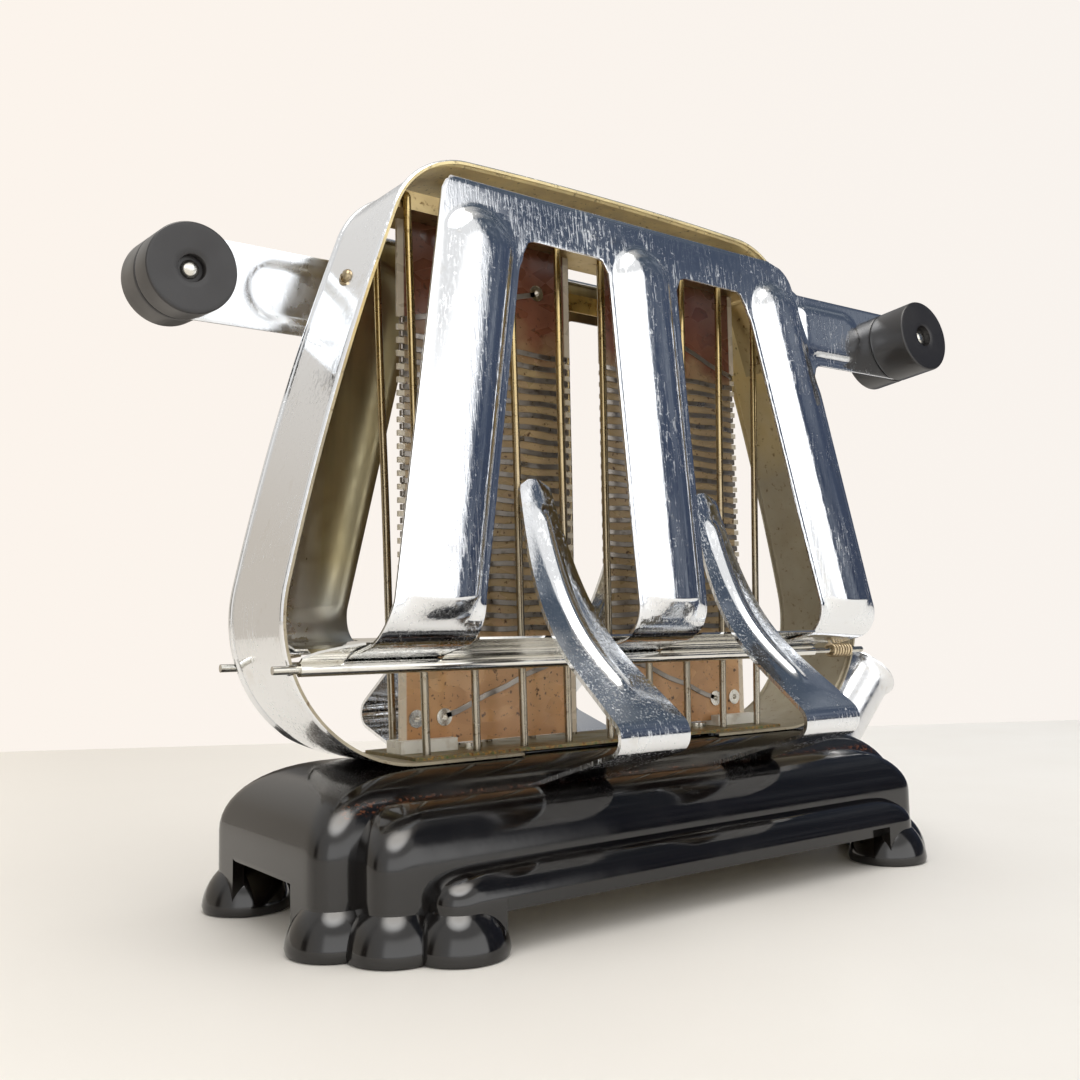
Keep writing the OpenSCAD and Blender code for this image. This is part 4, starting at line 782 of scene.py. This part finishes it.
def round_corners(x, t, heights):
    """Slide the rows near the windows' upper corners and under the arm, so that those corners are round."""
    row = np.searchsorted(heights, WINDOW)
    drop = np.zeros_like(x)
    for k in (-1, 1):
        for edge in (middle_edge(WINDOW), gap_edge(WINDOW)):
            inward = (np.abs(k * x[row] - edge))
            inside = (k * x[row] > middle_edge(WINDOW) - 0.01) & (k * x[row] < gap_edge(WINDOW) + 0.01)
            curve = 4 - np.sqrt(np.clip(16 - np.clip(4 - inward, 0, 4) ** 2, 0, None))
            solid = 4 * smoothstep(1 - inward / 14)
            drop[row] = np.maximum(drop[row], np.where(inside, curve, np.where(k * x[row] > 0, solid, 0)))
    arm_row = np.searchsorted(heights, ARM_LOW)
    edge = slat_edge(ARM_LOW)
    beyond = x[arm_row] - edge
    fillet = 3.6 - np.sqrt(np.clip(3.6 ** 2 - np.clip(3.6 - beyond, 0, 3.6) ** 2, 0, None))
    arm_drop = np.where(beyond >= 0, fillet, 3.6 * smoothstep(1 + beyond / 10))
    r = np.arange(len(heights))
    ease_window = np.where(r <= row, smoothstep((r - (row - 9)) / 9), smoothstep(((row + 7) - r) / 7))
    ease_arm = np.where(r <= arm_row, smoothstep((r - (arm_row - 9)) / 9), smoothstep(((arm_row + 12) - r) / 12))
    return t - np.outer(ease_window, drop[row]) - np.outer(ease_arm, arm_drop)


print("rows and columns of the flat sheet:", door_sheet()[0].shape)

# %% [markdown]
# Now the sheet is put together: each point goes to its place on the path, plus its rise along the outward normal.
# The cells in the windows, beside the arm and below the short foot are left out. Solidify gives the thickness and
# gives the inside its own dull finish, and a narrow Bevel takes the edge off the cuts.
# %% Door: build


def build_door():
    """The pressed and curled sheet: its points, and the cells that are metal."""
    x, t, owner, heights = door_sheet()
    t = round_corners(x, t, heights)
    path, face = sheet_path(t)
    out = path + face * pressing(x, t)[..., None]
    points = door_place(x, out[..., 0], out[..., 1])
    cells = grid_faces(*x.shape)
    r, c = np.divmod(np.arange(len(cells)), x.shape[1] - 1)
    own = owner[c]
    mid = (heights[r] + heights[r + 1]) / 2
    window = ((own == 1) | (own == 3)) & (mid < WINDOW)
    off_arm = (own == ARM_BAND) & ((mid < ARM_LOW) | (mid > ARM_HIGH))
    short_foot = (own == 4) & (mid < FOOT - SHORT_FOOT)
    keep = ~(window | off_arm | short_foot)
    return points.reshape(-1, 3), cells[keep]


def clean(points, faces):
    """Leave out the points that no face uses."""
    used = np.unique(faces)
    number = np.full(len(points), -1)
    number[used] = np.arange(len(used))
    return points[used], number[faces]


def thicken(piece, thickness, bevel):
    """Give a sheet its thickness, half on each side, and its inside the second material; then round its cut edges."""
    wall = piece.modifiers.new("sheet thickness", "SOLIDIFY")
    wall.thickness = thickness * MM
    wall.offset = 0
    wall.use_even_offset = False
    wall.material_offset = 1
    edge = piece.modifiers.new("deburred edges", "BEVEL")
    edge.width = bevel * MM
    edge.segments = 2
    edge.limit_method = "ANGLE"
    edge.angle_limit = math.radians(60)


door_points, door_faces = clean(*build_door())
for door_name, shift in (("front_door", lambda p: p), ("rear_door", turned)):
    sheet = make_piece(door_name + "_plated", shift(door_points), door_faces, [polished_chrome, door_inside],
                       "chromed_sheet", body=door_name, replaces=[door_name], smooth=0)
    thicken(sheet, SHEET, 0.15)

# %% [markdown]
# A knob is two thick phenolic discs that clamp the arm's end. They are moulded with a round recess, in which the
# domed head of the rivet sits. A cylinder with a Boolean hole would lack the small roundings that catch the light,
# so each disc is turned from a profile, as on a lathe. The outer disc is the thicker one.
# %% Knobs
KNOB_RADIUS, RECESS, HEAD = 11.06, 2.6, 2.3


def knob_place(points):
    """From the knob's own frame, whose Z points away from the door, to the toaster's frame."""
    reach = (KNOB_X - CREASE) / math.cos(ARM_TURN)
    x, y, z = np.asarray(points).T
    u, out, up = reach + x, z, y + (ARM_LOW + ARM_HIGH) / 2
    along = CREASE + u * math.cos(ARM_TURN) - out * math.sin(ARM_TURN)
    away = OFFSET + u * math.sin(ARM_TURN) + out * math.cos(ARM_TURN)
    return door_place(along, away, up)


def disc_profile(thick):
    """Half section of a disc that lies on the sheet: (radius, height), its edges turned over by 0.5 mm."""
    top, q = thick + SHEET / 2, np.linspace(0, math.pi / 2, 6)
    rim = np.stack([KNOB_RADIUS - 0.5 + 0.5 * np.cos(q), top - 0.5 + 0.5 * np.sin(q)], -1)
    return np.concatenate([[[0, 0.35], [KNOB_RADIUS - 0.55, 0.35], [KNOB_RADIUS - 0.15, 0.5], [KNOB_RADIUS, 0.85],
                            [KNOB_RADIUS, 1.2]], rim, [[KNOB_RADIUS - 1.2, top], [5, top - 0.02],
                           [3.62, top - 0.03], [3.38, top - 0.13], [3.3, top - 0.35], [3.3, top - RECESS + 0.25],
                           [3.15, top - RECESS + 0.04], [0, top - RECESS]]])


def rivet_profile(thick):
    """Half section of the rivet's head on the floor of the recess: a dome with a small flat where it was struck."""
    floor, q = thick + SHEET / 2 - RECESS, np.linspace(0, math.pi / 2, 9)
    dome = np.stack([HEAD * np.cos(q) ** 0.9, floor + 0.1 + 1.38 * np.sin(q)], -1)[:-1]
    return np.concatenate([[[0, floor - 0.02], [HEAD, floor - 0.02]], dome, [[0, floor + 1.42]]])


for door_name, shift in (("front", lambda p: p), ("rear", turned)):
    heads = []
    for half_name, thick, flip in (("outer", 12.1, [1, 1, 1]), ("inner", 9.4, [1, -1, -1])):
        p, f = revolve(disc_profile(thick), 96)
        make_piece(f"{door_name}_knob_{half_name}_disc", shift(knob_place(p * flip)), f, knob_phenolic,
                   "knob_moulding", body=door_name + "_door", replaces=[f"{door_name}_knob_{half_name}"])
        p, f = revolve(rivet_profile(thick), 48)
        heads.append((shift(knob_place(p * flip)), f))
    make_piece(f"{door_name}_knob_rivet_heads", *join(*heads), nickel_screw, "bright_steel",
               body=door_name + "_door", replaces=[f"{door_name}_knob_rivet"])

# %% [markdown]
# Each finger is a plated strip, narrow at its tip, that runs down and outwards, folds back under itself and slides
# into the groove of the base. A pressed rib keeps it stiff. It could be a plane bent by hand; a cubic curve for its
# side view and a formula for the rib give the same sweep on all four.
# %% Fingers


def finger_line():
    """Side view of the finger, about 1 mm a step: a cubic curve, the fold's arc, then the straight tail."""
    tip, fold = np.array([-15.1, 103.6]), np.array([-57, 45.2])
    d = lambda a: np.array([math.sin(math.radians(a)), math.cos(math.radians(a))])
    lead, trail = tip - 42 * d(15.8), fold + 25.8 * d(90 - 37.8)
    u = np.linspace(0, 1, 76)[:, None]
    upper = (1 - u) ** 3 * tip + 3 * (1 - u) ** 2 * u * lead + 3 * (1 - u) * u * u * trail + u ** 3 * fold
    centre = fold + 3.9 * np.array([math.sin(math.radians(37.8)), -math.cos(math.radians(37.8))])
    bend = arc(centre, 3.9, np.linspace(127.8, 254, 22)[1:])
    entry = np.array([-26.6, 29.4])
    tail = bend[-1] + np.linspace(0, 1, 34)[1:, None] * (entry - bend[-1])
    inside = entry + np.linspace(0, 6, 5)[1:, None] * np.array([math.cos(math.radians(16)),
                                                               -math.sin(math.radians(16))])
    return np.concatenate([upper, bend, tail, inside])


def finger(x_middle):
    """Strip of half width 4.6 mm at the tip to 10.2 mm, 0.98 mm thick, lifted along its normal by a rib
    1.1 exp(-(x / 1.5) ** 2) and by a crown 0.45 (1 - u ** 2), where u runs from -1 to 1 across it."""
    line = finger_line()
    way = np.gradient(line, axis=0)
    way /= np.linalg.norm(way, axis=1)[:, None]
    normal = np.stack([way[:, 1], -way[:, 0]], -1)
    length = np.concatenate([[0], np.cumsum(np.linalg.norm(np.diff(line, axis=0), axis=1))])
    half = np.interp(line[:, 1], [20, 46, 103.6], [10.2, 10.2, 4.6])
    half = half - 3 + np.sqrt(np.clip(9 - np.clip(3 - length, 0, 3) ** 2, 0.04, None))
    u = np.linspace(-1, 1, 25)
    x = half[:, None] * u[None, :]
    run = smoothstep((length - 7) / 5) * smoothstep((66 - length) / 6)
    rib = 1.1 * run[:, None] * np.exp(-(x / 1.5) ** 2)
    crown = 0.45 * (1 - u[None, :] ** 2) * smoothstep((78 - length) / 10)[:, None]
    lift = rib + crown
    top = line[:, None, :] + normal[:, None, :] * (lift + 0.49)[..., None]
    low = line[:, None, :] + normal[:, None, :] * (lift - 0.49)[..., None]
    shape = lambda a: np.stack([x + x_middle, a[..., 0], a[..., 1]], -1)
    return skin(np.concatenate([shape(top), shape(low)[:, ::-1]], 1), flip=True)


for name, x_middle, shift in (("finger_front_left", -30, lambda p: p), ("finger_front_right", 30, lambda p: p),
                              ("finger_rear_left", 30, turned), ("finger_rear_right", -30, turned)):
    p, f = finger(x_middle)
    make_piece(name + "_plated", shift(p), f, polished_chrome, "chromed_sheet", replaces=[name])

# %% [markdown]
# The guard wires keep the bread off the windings. They stand in two rows, each a round wire pushed into the sole
# plate and bent into the channel. A tube along a path, slightly wavy as hand-set wire is, needs few faces.
# %% Guard wires


def tube(path, radius, reference, sides=12):
    """Round tube along a path; its sections are turned by the path's direction and a reference direction."""
    way = np.gradient(path, axis=0)
    way /= np.linalg.norm(way, axis=1)[:, None]
    first = np.cross(way, reference)
    first /= np.linalg.norm(first, axis=1)[:, None]
    second = np.cross(way, first)
    a = np.linspace(0, 2 * math.pi, sides, endpoint=False)
    ring = first[:, None] * np.cos(a)[None, :, None] + second[:, None] * np.sin(a)[None, :, None]
    return skin(path[:, None] + ring * radius)


def guard_wire_line(k):
    """Path of wire k, -4 to 4, counted from the middle: a stem that leans outwards and waves by up to 0.18 mm, then
    a bend of 1.2 mm radius into the channel."""
    low, high = np.array([k * 14.4, -8.1, 35.75]), np.array([k * 15.5, -8.1, 172.3])
    u = np.linspace(0, 1, 60)[:, None]
    stem = low + u * (high - low) + np.array([0.18, 0.12, 0]) * np.sin(u * math.pi * 3 + k * 1.7) * u * (1 - u) * 4
    bend = np.linspace(0, math.pi / 2, 8)[1:, None]
    top = high + 1.2 * np.concatenate([np.zeros_like(bend), 1 - np.cos(bend), np.sin(bend)], 1)
    tip = top[-1] + np.linspace(0, 1.7, 4)[1:, None] * [0, 1, 0]
    return np.concatenate([stem, top, tip])


wire_shapes = [tube(guard_wire_line(k), 1.0, [1.0, 0, 0], 14) for k in range(-4, 5)]
for name, shift in (("guard_wires_front", lambda p: p), ("guard_wires_rear", turned)):
    p, f = join(*[(shift(s[0]), s[1]) for s in wire_shapes])
    make_piece(name + "_drawn", p, f, guard_wire, "guard_wire", replaces=[name])

# %% [markdown]
# The ribbon is wound flat round the notched card. An array of rings would look right from afar, but real ribbon is
# one unbroken strip, so its middle line is: one template goes once round, and each turn is that template one pitch
# higher, level across the front and rising across the back. A lead runs from each end to its eyelet.
# %% Windings
LOOPS, PITCH, FIRST = 24, 3.375, 63.0
RUN_Y, FAR_X, NEAR_X = 0.65, 58.9, 7.2


def ribbon_line():
    """Middle line, outward direction and width direction of the ribbon, from one eyelet to the other."""
    half_turn = np.linspace(-math.pi / 2, math.pi / 2, 9)
    near = np.stack([NEAR_X - 0.75 * np.cos(half_turn), RUN_Y * np.sin(half_turn), 0 * half_turn], -1)
    near_out = np.stack([-np.cos(half_turn), np.sin(half_turn), 0 * half_turn], -1)
    back_x = np.linspace(NEAR_X, FAR_X, 14)[1:-1]
    back = np.stack([back_x, np.full(12, RUN_Y), PITCH * (back_x - NEAR_X) / (FAR_X - NEAR_X)], -1)
    far = np.stack([FAR_X + 0.75 * np.cos(half_turn), -RUN_Y * np.sin(half_turn), 0 * half_turn + PITCH], -1)
    far_out = np.stack([np.cos(half_turn), -np.sin(half_turn), 0 * half_turn], -1)
    front_x = np.linspace(FAR_X, NEAR_X, 18)[1:-1]
    front = np.stack([front_x, np.full(16, -RUN_Y), np.full(16, PITCH)], -1)
    turn_line = np.concatenate([near, back, far, front])
    turn_out = np.concatenate([near_out, np.tile([0, 1.0, 0], (12, 1)), far_out, np.tile([0, -1.0, 0], (16, 1))])
    count = LOOPS + 1
    lift = (FIRST - PITCH + PITCH * np.arange(count))[:, None, None] * np.array([0, 0, 1.0])
    loops = (turn_line[None] + lift).reshape(-1, 3)
    outs = np.tile(turn_out, (count, 1))
    loops, outs = loops[:-16], outs[:-16]
    start = np.array([47.3, -RUN_Y, 44.7]) + np.linspace(0, 1, 14)[:-1, None] * (loops[0] - [47.3, -RUN_Y, 44.7])
    end = loops[-1] + np.linspace(0, 1, 14)[1:, None] * (np.array([17.5, -RUN_Y, 157.8]) - loops[-1])
    line = np.concatenate([start, loops, end])
    out = np.concatenate([np.tile([0, -1.0, 0], (13, 1)), outs, np.tile([0, -1.0, 0], (13, 1))])
    way = np.gradient(line, axis=0)
    width = np.cross(out, way)
    width /= np.linalg.norm(width, axis=1)[:, None]
    wave = 0.22 * np.sin(line[:, 0] * 0.33 + line[:, 2] * 2.1) * (np.abs(out[:, 1]) > 0.99)
    return line + np.stack([0 * wave, 0 * wave, wave], -1), out, width


ribbon, ribbon_out, ribbon_width = ribbon_line()
section = np.array([[-0.7, -0.08], [-0.62, -0.15], [0.62, -0.15], [0.7, -0.08], [0.7, 0.08], [0.62, 0.15],
                    [-0.62, 0.15], [-0.7, 0.08]])
ribbon_rings = (ribbon[:, None] + section[None, :, :1] * ribbon_width[:, None]
                + section[None, :, 1:] * ribbon_out[:, None])
for name, side in (("winding_right", 1), ("winding_left", -1)):
    p, f = skin(ribbon_rings * [side, 1, 1], flip=side < 0)
    make_piece(name + "_ribbon", p, f, ribbon_metal, "resistance_ribbon", replaces=[name])

# %% [markdown]
# Each door spring is a close coil round the rod with a leg to the door and a leg to the band. It belongs to two
# bodies, so it rides on neither.
# %% Door springs
curls = 7
coil = np.linspace(0, 1, curls * 24 + 1)[:, None]
coil_line = np.concatenate([93.1 + (83.9 - 93.1) * coil, 1.7 * np.cos(math.pi / 2 + 2 * math.pi * curls * coil),
                            1.7 * np.sin(math.pi / 2 + 2 * math.pi * curls * coil)], 1)
band_leg = np.array([93.1, 7.5, 1.7]) + np.linspace(0, 1, 9)[:-1, None] * (coil_line[0] - [93.1, 7.5, 1.7])
f = np.linspace(0, 1, 17)[1:, None]
leg_points = coil_line[-1], np.array([83.2, -2.1, 1.72]), np.array([80, -4.4, 2.12]), np.array([77, -5.8, 2.42])
door_leg = sum(w * q for w, q in zip(((1 - f) ** 3, 3 * f * (1 - f) ** 2, 3 * f * f * (1 - f), f ** 3), leg_points))
spring_line = np.concatenate([band_leg, coil_line, door_leg])
for name, shift, way in (("front", lambda p: p, 1), ("rear", turned, -1)):
    p, f = tube(spring_line, 0.4, [1.0, 0, 0], 10)
    spring = make_piece(name + "_spring_coil", shift(p + HINGE), f, spring_strip, "spring_steel", body=None,
                        replaces=[name + "_spring"])
    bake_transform(spring)

# %% [markdown]
# The inlet collar is drawn aluminium tube, flat-sided, flared and rolled at its mouth. The profile through its wall
# is carried round a stadium, two half circles joined by straight sides, which closes in both directions.
# %% Inlet collar
RIM = np.array([109.5, 0, 50.4])


def inlet_place(points):
    """From the inlet's own frame, whose Z points out of the mouth, to the toaster's frame: a turn of 45 degrees."""
    x, y, z = np.moveaxis(np.asarray(points), -1, 0)
    r = math.sqrt(0.5)
    return np.stack([r * (x + z), y, r * (z - x)], -1) + RIM


collar_profile = np.array([[8.7, -36.8], [10.1, -36.8], [10.2, -36.6], [10.2, -36.1], [9.6, -36], [9.5, -35.7],
                           [9.5, -20], [9.5, -6], [9.55, -4], [9.8, -2.4], [10.2, -1.4], [10.55, -0.9],
                           [10.78, -0.4], [10.75, -0.1], [10.5, 0.0], [10.15, -0.12], [9.7, -0.6], [9.2, -1.7],
                           [8.85, -3.2], [8.7, -5], [8.7, -20]])
half_circle = np.linspace(0, math.pi, 33)
direction = np.stack([np.cos(half_circle), np.sin(half_circle)], -1)
direction = np.concatenate([direction, -direction])
centre_line = np.repeat([[0, 8.0], [0, -8.0]], 33, 0)
collar_rings = np.concatenate([centre_line[:, None] + direction[:, None] * collar_profile[None, :, :1],
                               np.repeat(collar_profile[None, :, 1:], len(direction), 0)], -1)
collar_faces = grid_faces(len(direction), len(collar_profile), close_rows=True, close_columns=True)
make_piece("inlet_collar_drawn", inlet_place(collar_rings).reshape(-1, 3), collar_faces, spun_aluminium,
           "collar_aluminium", replaces=["inlet_collar"])

# %% [markdown]
# The other CAD nodes have the right shape as they are. A copy in mesh would add nothing, so they keep their meshes
# and only take a finish.
# %% Finishes on the CAD's own nodes
OWN = {nickel_screw: ["cover_screws", "frame_bolts", "frame_nuts", "finger_screws", "inlet_screws"],
       drawn_rod: ["hinge_rod_front", "hinge_rod_rear"],
       stained_chrome: ["front_ledge", "rear_ledge"],
       sole_steel: ["sole_plate"],
       dull_steel: ["top_channel", "base_cover"],
       mica_sheet: ["card_left", "card_right"],
       eyelet_metal: ["terminal_eyelets"],
       terminal_brass: ["top_link", "supply_strip_left", "supply_strip_right", "inlet_pins"],
       steatite: ["ceramic_block_left", "ceramic_block_right", "inlet_insulator"]}
for finish, names in OWN.items():
    for name in names:
        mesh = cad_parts[name].data
        mesh.materials.clear()
        mesh.materials.append(finish)
print("CAD nodes that keep their shape:", sum(len(names) for names in OWN.values()))

# %% [markdown]
# The camera stands low at the front left corner and looks slightly up. Its place, turn and lens were worked out
# from points of the photograph whose places on the toaster are known.
# %% Camera
YAW, PITCH_UP, ROLL = 0.6429, 0.0823, -0.0170
eye = np.array([-195.783, -239.087, 65.4215]) * MM
forward = np.array([math.sin(YAW) * math.cos(PITCH_UP), math.cos(YAW) * math.cos(PITCH_UP), math.sin(PITCH_UP)])
level_right = np.array([math.cos(YAW), -math.sin(YAW), 0])
level_up = np.cross(level_right, forward)
right = level_right * math.cos(ROLL) + level_up * math.sin(ROLL)
upward = level_up * math.cos(ROLL) - level_right * math.sin(ROLL)
camera_data = bpy.data.cameras.new("camera")
camera_data.sensor_width = 36
camera_data.lens = 36.904
camera_data.clip_start, camera_data.clip_end = 0.01, 20
camera = bpy.data.objects.new("camera", camera_data)
bpy.context.scene.collection.objects.link(camera)
matrix = np.eye(4)
matrix[:3, 0], matrix[:3, 1], matrix[:3, 2], matrix[:3, 3] = right, upward, -forward, eye
camera.matrix_world = Matrix(matrix.tolist())
bpy.context.scene.camera = camera
print("camera at", eye.round(4), "looking along", forward.round(4))

# %% [markdown]
# The toaster stands on a pale table top, whose back edge crosses the picture behind it. A curved backdrop would do
# for a studio, but the edge is in the photograph, so the floor is one large quadrilateral that ends there, and the
# world is the wall behind.
# %% Floor
EDGE_LEFT, EDGE_RIGHT, TABLE_REACH = np.array([-56.5, 480.7]), np.array([542.6, 145.8]), 9000


def floor_finish():
    """Pale satin paint with 60 mm clouds, and painted shade that makes it a little darker to the left of the picture.
    """
    m, t, s = material("pale satin table top with painted shade", Roughness=0.42)
    spot = add(t, "TexCoord", out="Object")
    # Painted shade: the colour runs from darker at the left of the picture to paler at the right, where more light
    # falls.
    rightwards = add(t, "VectorMath", spot, (0.8, -0.6, 0), operation="DOT_PRODUCT")
    base = add(t, "Mix", add(t, "MapRange", rightwards, -0.3, 0.25, 0, 1), colour("#ebe4da"), colour("#f6f3ee"),
               data_type="RGBA")
    clouds = add(t, "MapRange", add(t, "TexNoise", spot, 1 / (60 * MM), 3), 0.3, 0.7, 0, 0.25)
    add(t, s, Base_Color=add(t, "Mix", clouds, base, colour("#e9e3db"), data_type="RGBA"),
        Normal=add(t, "Bump", Height=add(t, "TexNoise", spot, 1 / (3 * MM), 2), Distance=0.02 * MM, Strength=0.2))
    return m


edge_way = (EDGE_RIGHT - EDGE_LEFT) / np.linalg.norm(EDGE_RIGHT - EDGE_LEFT)
near_way = np.array([edge_way[1], -edge_way[0]])
far_left, far_right = EDGE_LEFT - TABLE_REACH * edge_way, EDGE_RIGHT + TABLE_REACH * edge_way
corners = [far_left, far_left + TABLE_REACH * near_way, far_right + TABLE_REACH * near_way, far_right]
floor_mesh = bpy.data.meshes.new("floor")
floor_mesh.from_pydata([(x * MM, y * MM, 0) for x, y in corners], [], [(0, 1, 2, 3)])
floor_mesh.materials.append(floor_finish())
floor = bpy.data.objects.new("floor", floor_mesh)
bpy.context.scene.collection.objects.link(floor)
print("floor corners in mm:", [c.round().tolist() for c in corners])

# %% [markdown]
# Light comes from above and from both sides, as in a room with several windows. Small lamps would throw hard
# shadows, so there are four large soft ones. They are hidden from glossy rays, because chrome would show them as
# four bright tiles: what it mirrors is painted on the world instead.
# %% Lamps


def lamp(name, size, power, where, target=(0, 0, 0.09)):
    """Rectangular area lamp, its size in metres and its power in watts, that looks at the target."""
    data = bpy.data.lights.new(name, "AREA")
    data.shape = "RECTANGLE"
    data.size, data.size_y = size
    data.energy = power
    light = bpy.data.objects.new(name, data)
    light.location = where
    light.rotation_euler = (Vector(target) - Vector(where)).to_track_quat("-Z", "Y").to_euler()
    light.visible_glossy = False
    bpy.context.scene.collection.objects.link(light)


lamp("overhead softbox", (1.2, 0.9), 6, (0.1, -0.1, 1.1))
lamp("left softbox", (0.8, 1.0), 1.6, (-1.1, -0.5, 0.6))
lamp("right softbox", (0.7, 0.9), 2.6, (0.9, -0.9, 0.6))
lamp("rear strip", (1.0, 0.4), 1.2, (0.3, 1.1, 0.7))
print("lamps:", len(bpy.data.lights))

# %% [markdown]
# Chrome and gloss black have hardly a colour of their own: they show the room. A picture of a room on the world
# would do, but a painted one needs no file and can be tuned to the photograph. It goes by two measures of the
# direction in which a ray leaves: the azimuth round the room and the height. A little noise bends its borders, as
# nothing in a real room ends in a perfect line.
# %% World: directions
world = bpy.data.worlds.new("studio")
bpy.context.scene.world = world
world.use_nodes = True
sky = world.node_tree
toward = add(sky, "TexCoord", out="Generated")
up = add(sky, "SeparateXYZ", toward, out="Z")
front = add(sky, "Math", 0.0, add(sky, "SeparateXYZ", toward, out="Y"), operation="SUBTRACT")
azimuth = add(sky, "Math", add(sky, "SeparateXYZ", toward, out="X"), front, operation="ARCTAN2")
drift = add(sky, "MapRange", add(sky, "TexNoise", toward, 1 / (300 * MM), 3, 0.6), 0.3, 0.7, -1, 1)
glossy = add(sky, "LightPath", out="Is Glossy Ray")


def at(degrees):
    """Place on a colour ramp of a direction: degrees from the front (-Y) towards the right (+X)."""
    return (degrees + 180) / 360


def azimuth_mask(start, full, wander):
    """0 before the azimuth start and 1 past full, both in degrees, with a border that wanders."""
    bent = add(sky, "Math", azimuth, add(sky, "Math", drift, math.radians(wander), operation="MULTIPLY"))
    return add(sky, "MapRange", bent, math.radians(start), math.radians(full), 0, 1)


print("the front lies at", at(0), "of the ramp round the room")

# %% [markdown]
# Glossy rays see bright walls, brightest in front and to the left, a dark blue-grey corner to the right of the front
# with a few pale things in it, and a light ceiling. Camera rays see the plain wall, and all other rays an even grey
# that fills the shadows.
# %% World: the room
walls = add(sky, "ValToRGB", add(sky, "MapRange", azimuth, -math.pi, math.pi, 0, 1),
            stops=((at(-180), "#cfc6ba"), (at(-112), "#dad2c6"), (at(-108), "#5b5650"), (at(-97), "#54504c"),
                   (at(-92), "#ece6dd"), (at(-55), "#ffffff"), (at(60), "#ffffff"), (at(110), "#b9b3aa"),
                   (at(152), "#c6beb3"), (at(156), "#5b5650"), (at(166), "#5b5650"), (at(170), "#cfc6ba")))
walls = add(sky, "Mix", add(sky, "MapRange", up, 0.25, 0.6, 0, 0.8), walls, colour("#f7f6f4"), data_type="RGBA")
uneven_up = add(sky, "Math", up, add(sky, "Math", drift, 0.1, operation="MULTIPLY"))
corner = add(sky, "ValToRGB", uneven_up,
             stops=((0, "#343b4c"), (0.16, "#3a4254"), (0.34, "#465064"), (0.55, "#4c5666"), (0.8, "#4f5965"),
                    (0.93, "#8b8f93")))
things = add(sky, "MapRange", add(sky, "TexNoise", toward, 1 / (170 * MM), 4, 0.6), 0.48, 0.66, 0, 0.5)
corner = add(sky, "Mix", things, corner, colour("#a0a6ae"), data_type="RGBA")
in_corner = add(sky, "Math", azimuth_mask(34, 38.5, 1.2), azimuth_mask(150, 122, 4), operation="MULTIPLY")
room = add(sky, "Mix", in_corner, walls, corner, data_type="RGBA")
room = add(sky, "Mix", add(sky, "MapRange", up, 0.84, 0.97, 0, 1), room, colour("#dcd8d2"), data_type="RGBA")
lit = add(sky, "Mix", glossy, colour("#dcdbd8"), room, data_type="RGBA")
wall_share = add(sky, "MapRange", azimuth, math.radians(170), math.radians(100), 0, 1)
plain_wall = add(sky, "Mix", wall_share, colour("#fcf4ec"), colour("#f8f3ee"), data_type="RGBA")
print("nodes in the room so far:", len(sky.nodes))

# %% [markdown]
# The strength is 1 all round. Only glossy rays see two brighter places: a lamp near the ceiling, and the bright end
# of the room between 60 degrees left and 36 degrees right of the front, which turns one side of the slats white.
# Both could be area lamps, but the chrome would then show their square outlines.
# %% World: strength
facing_lamp = add(sky, "VectorMath", toward, (-0.16, -0.2, 0.966), operation="DOT_PRODUCT")
glow = add(sky, "MapRange", facing_lamp, math.cos(math.radians(27)), math.cos(math.radians(12)), 0, 8)
low_part = add(sky, "Math", add(sky, "MapRange", up, 0.02, 0.08, 0, 1), add(sky, "MapRange", up, 0.5, 0.62, 1, 0),
               operation="MULTIPLY")
from_left = add(sky, "MapRange", azimuth, math.radians(-60), math.radians(-50), 0, 1)
bright_end = add(sky, "Math", low_part, add(sky, "Math", azimuth_mask(38.5, 34, 1.2), from_left,
                                            operation="MULTIPLY"), operation="MULTIPLY")
glow = add(sky, "Math", glow, glossy, operation="MULTIPLY")
bright_end = add(sky, "Math", bright_end, glossy, operation="MULTIPLY")
add(sky, sky.nodes["Background"],
    Color=add(sky, "Mix", add(sky, "LightPath", out="Is Camera Ray"), lit, plain_wall, data_type="RGBA"),
    Strength=add(sky, "Math", add(sky, "Math", 1.0, glow), bright_end))
bpy.context.scene.view_settings.view_transform = "Standard"
print("nodes in the world:", len(sky.nodes))
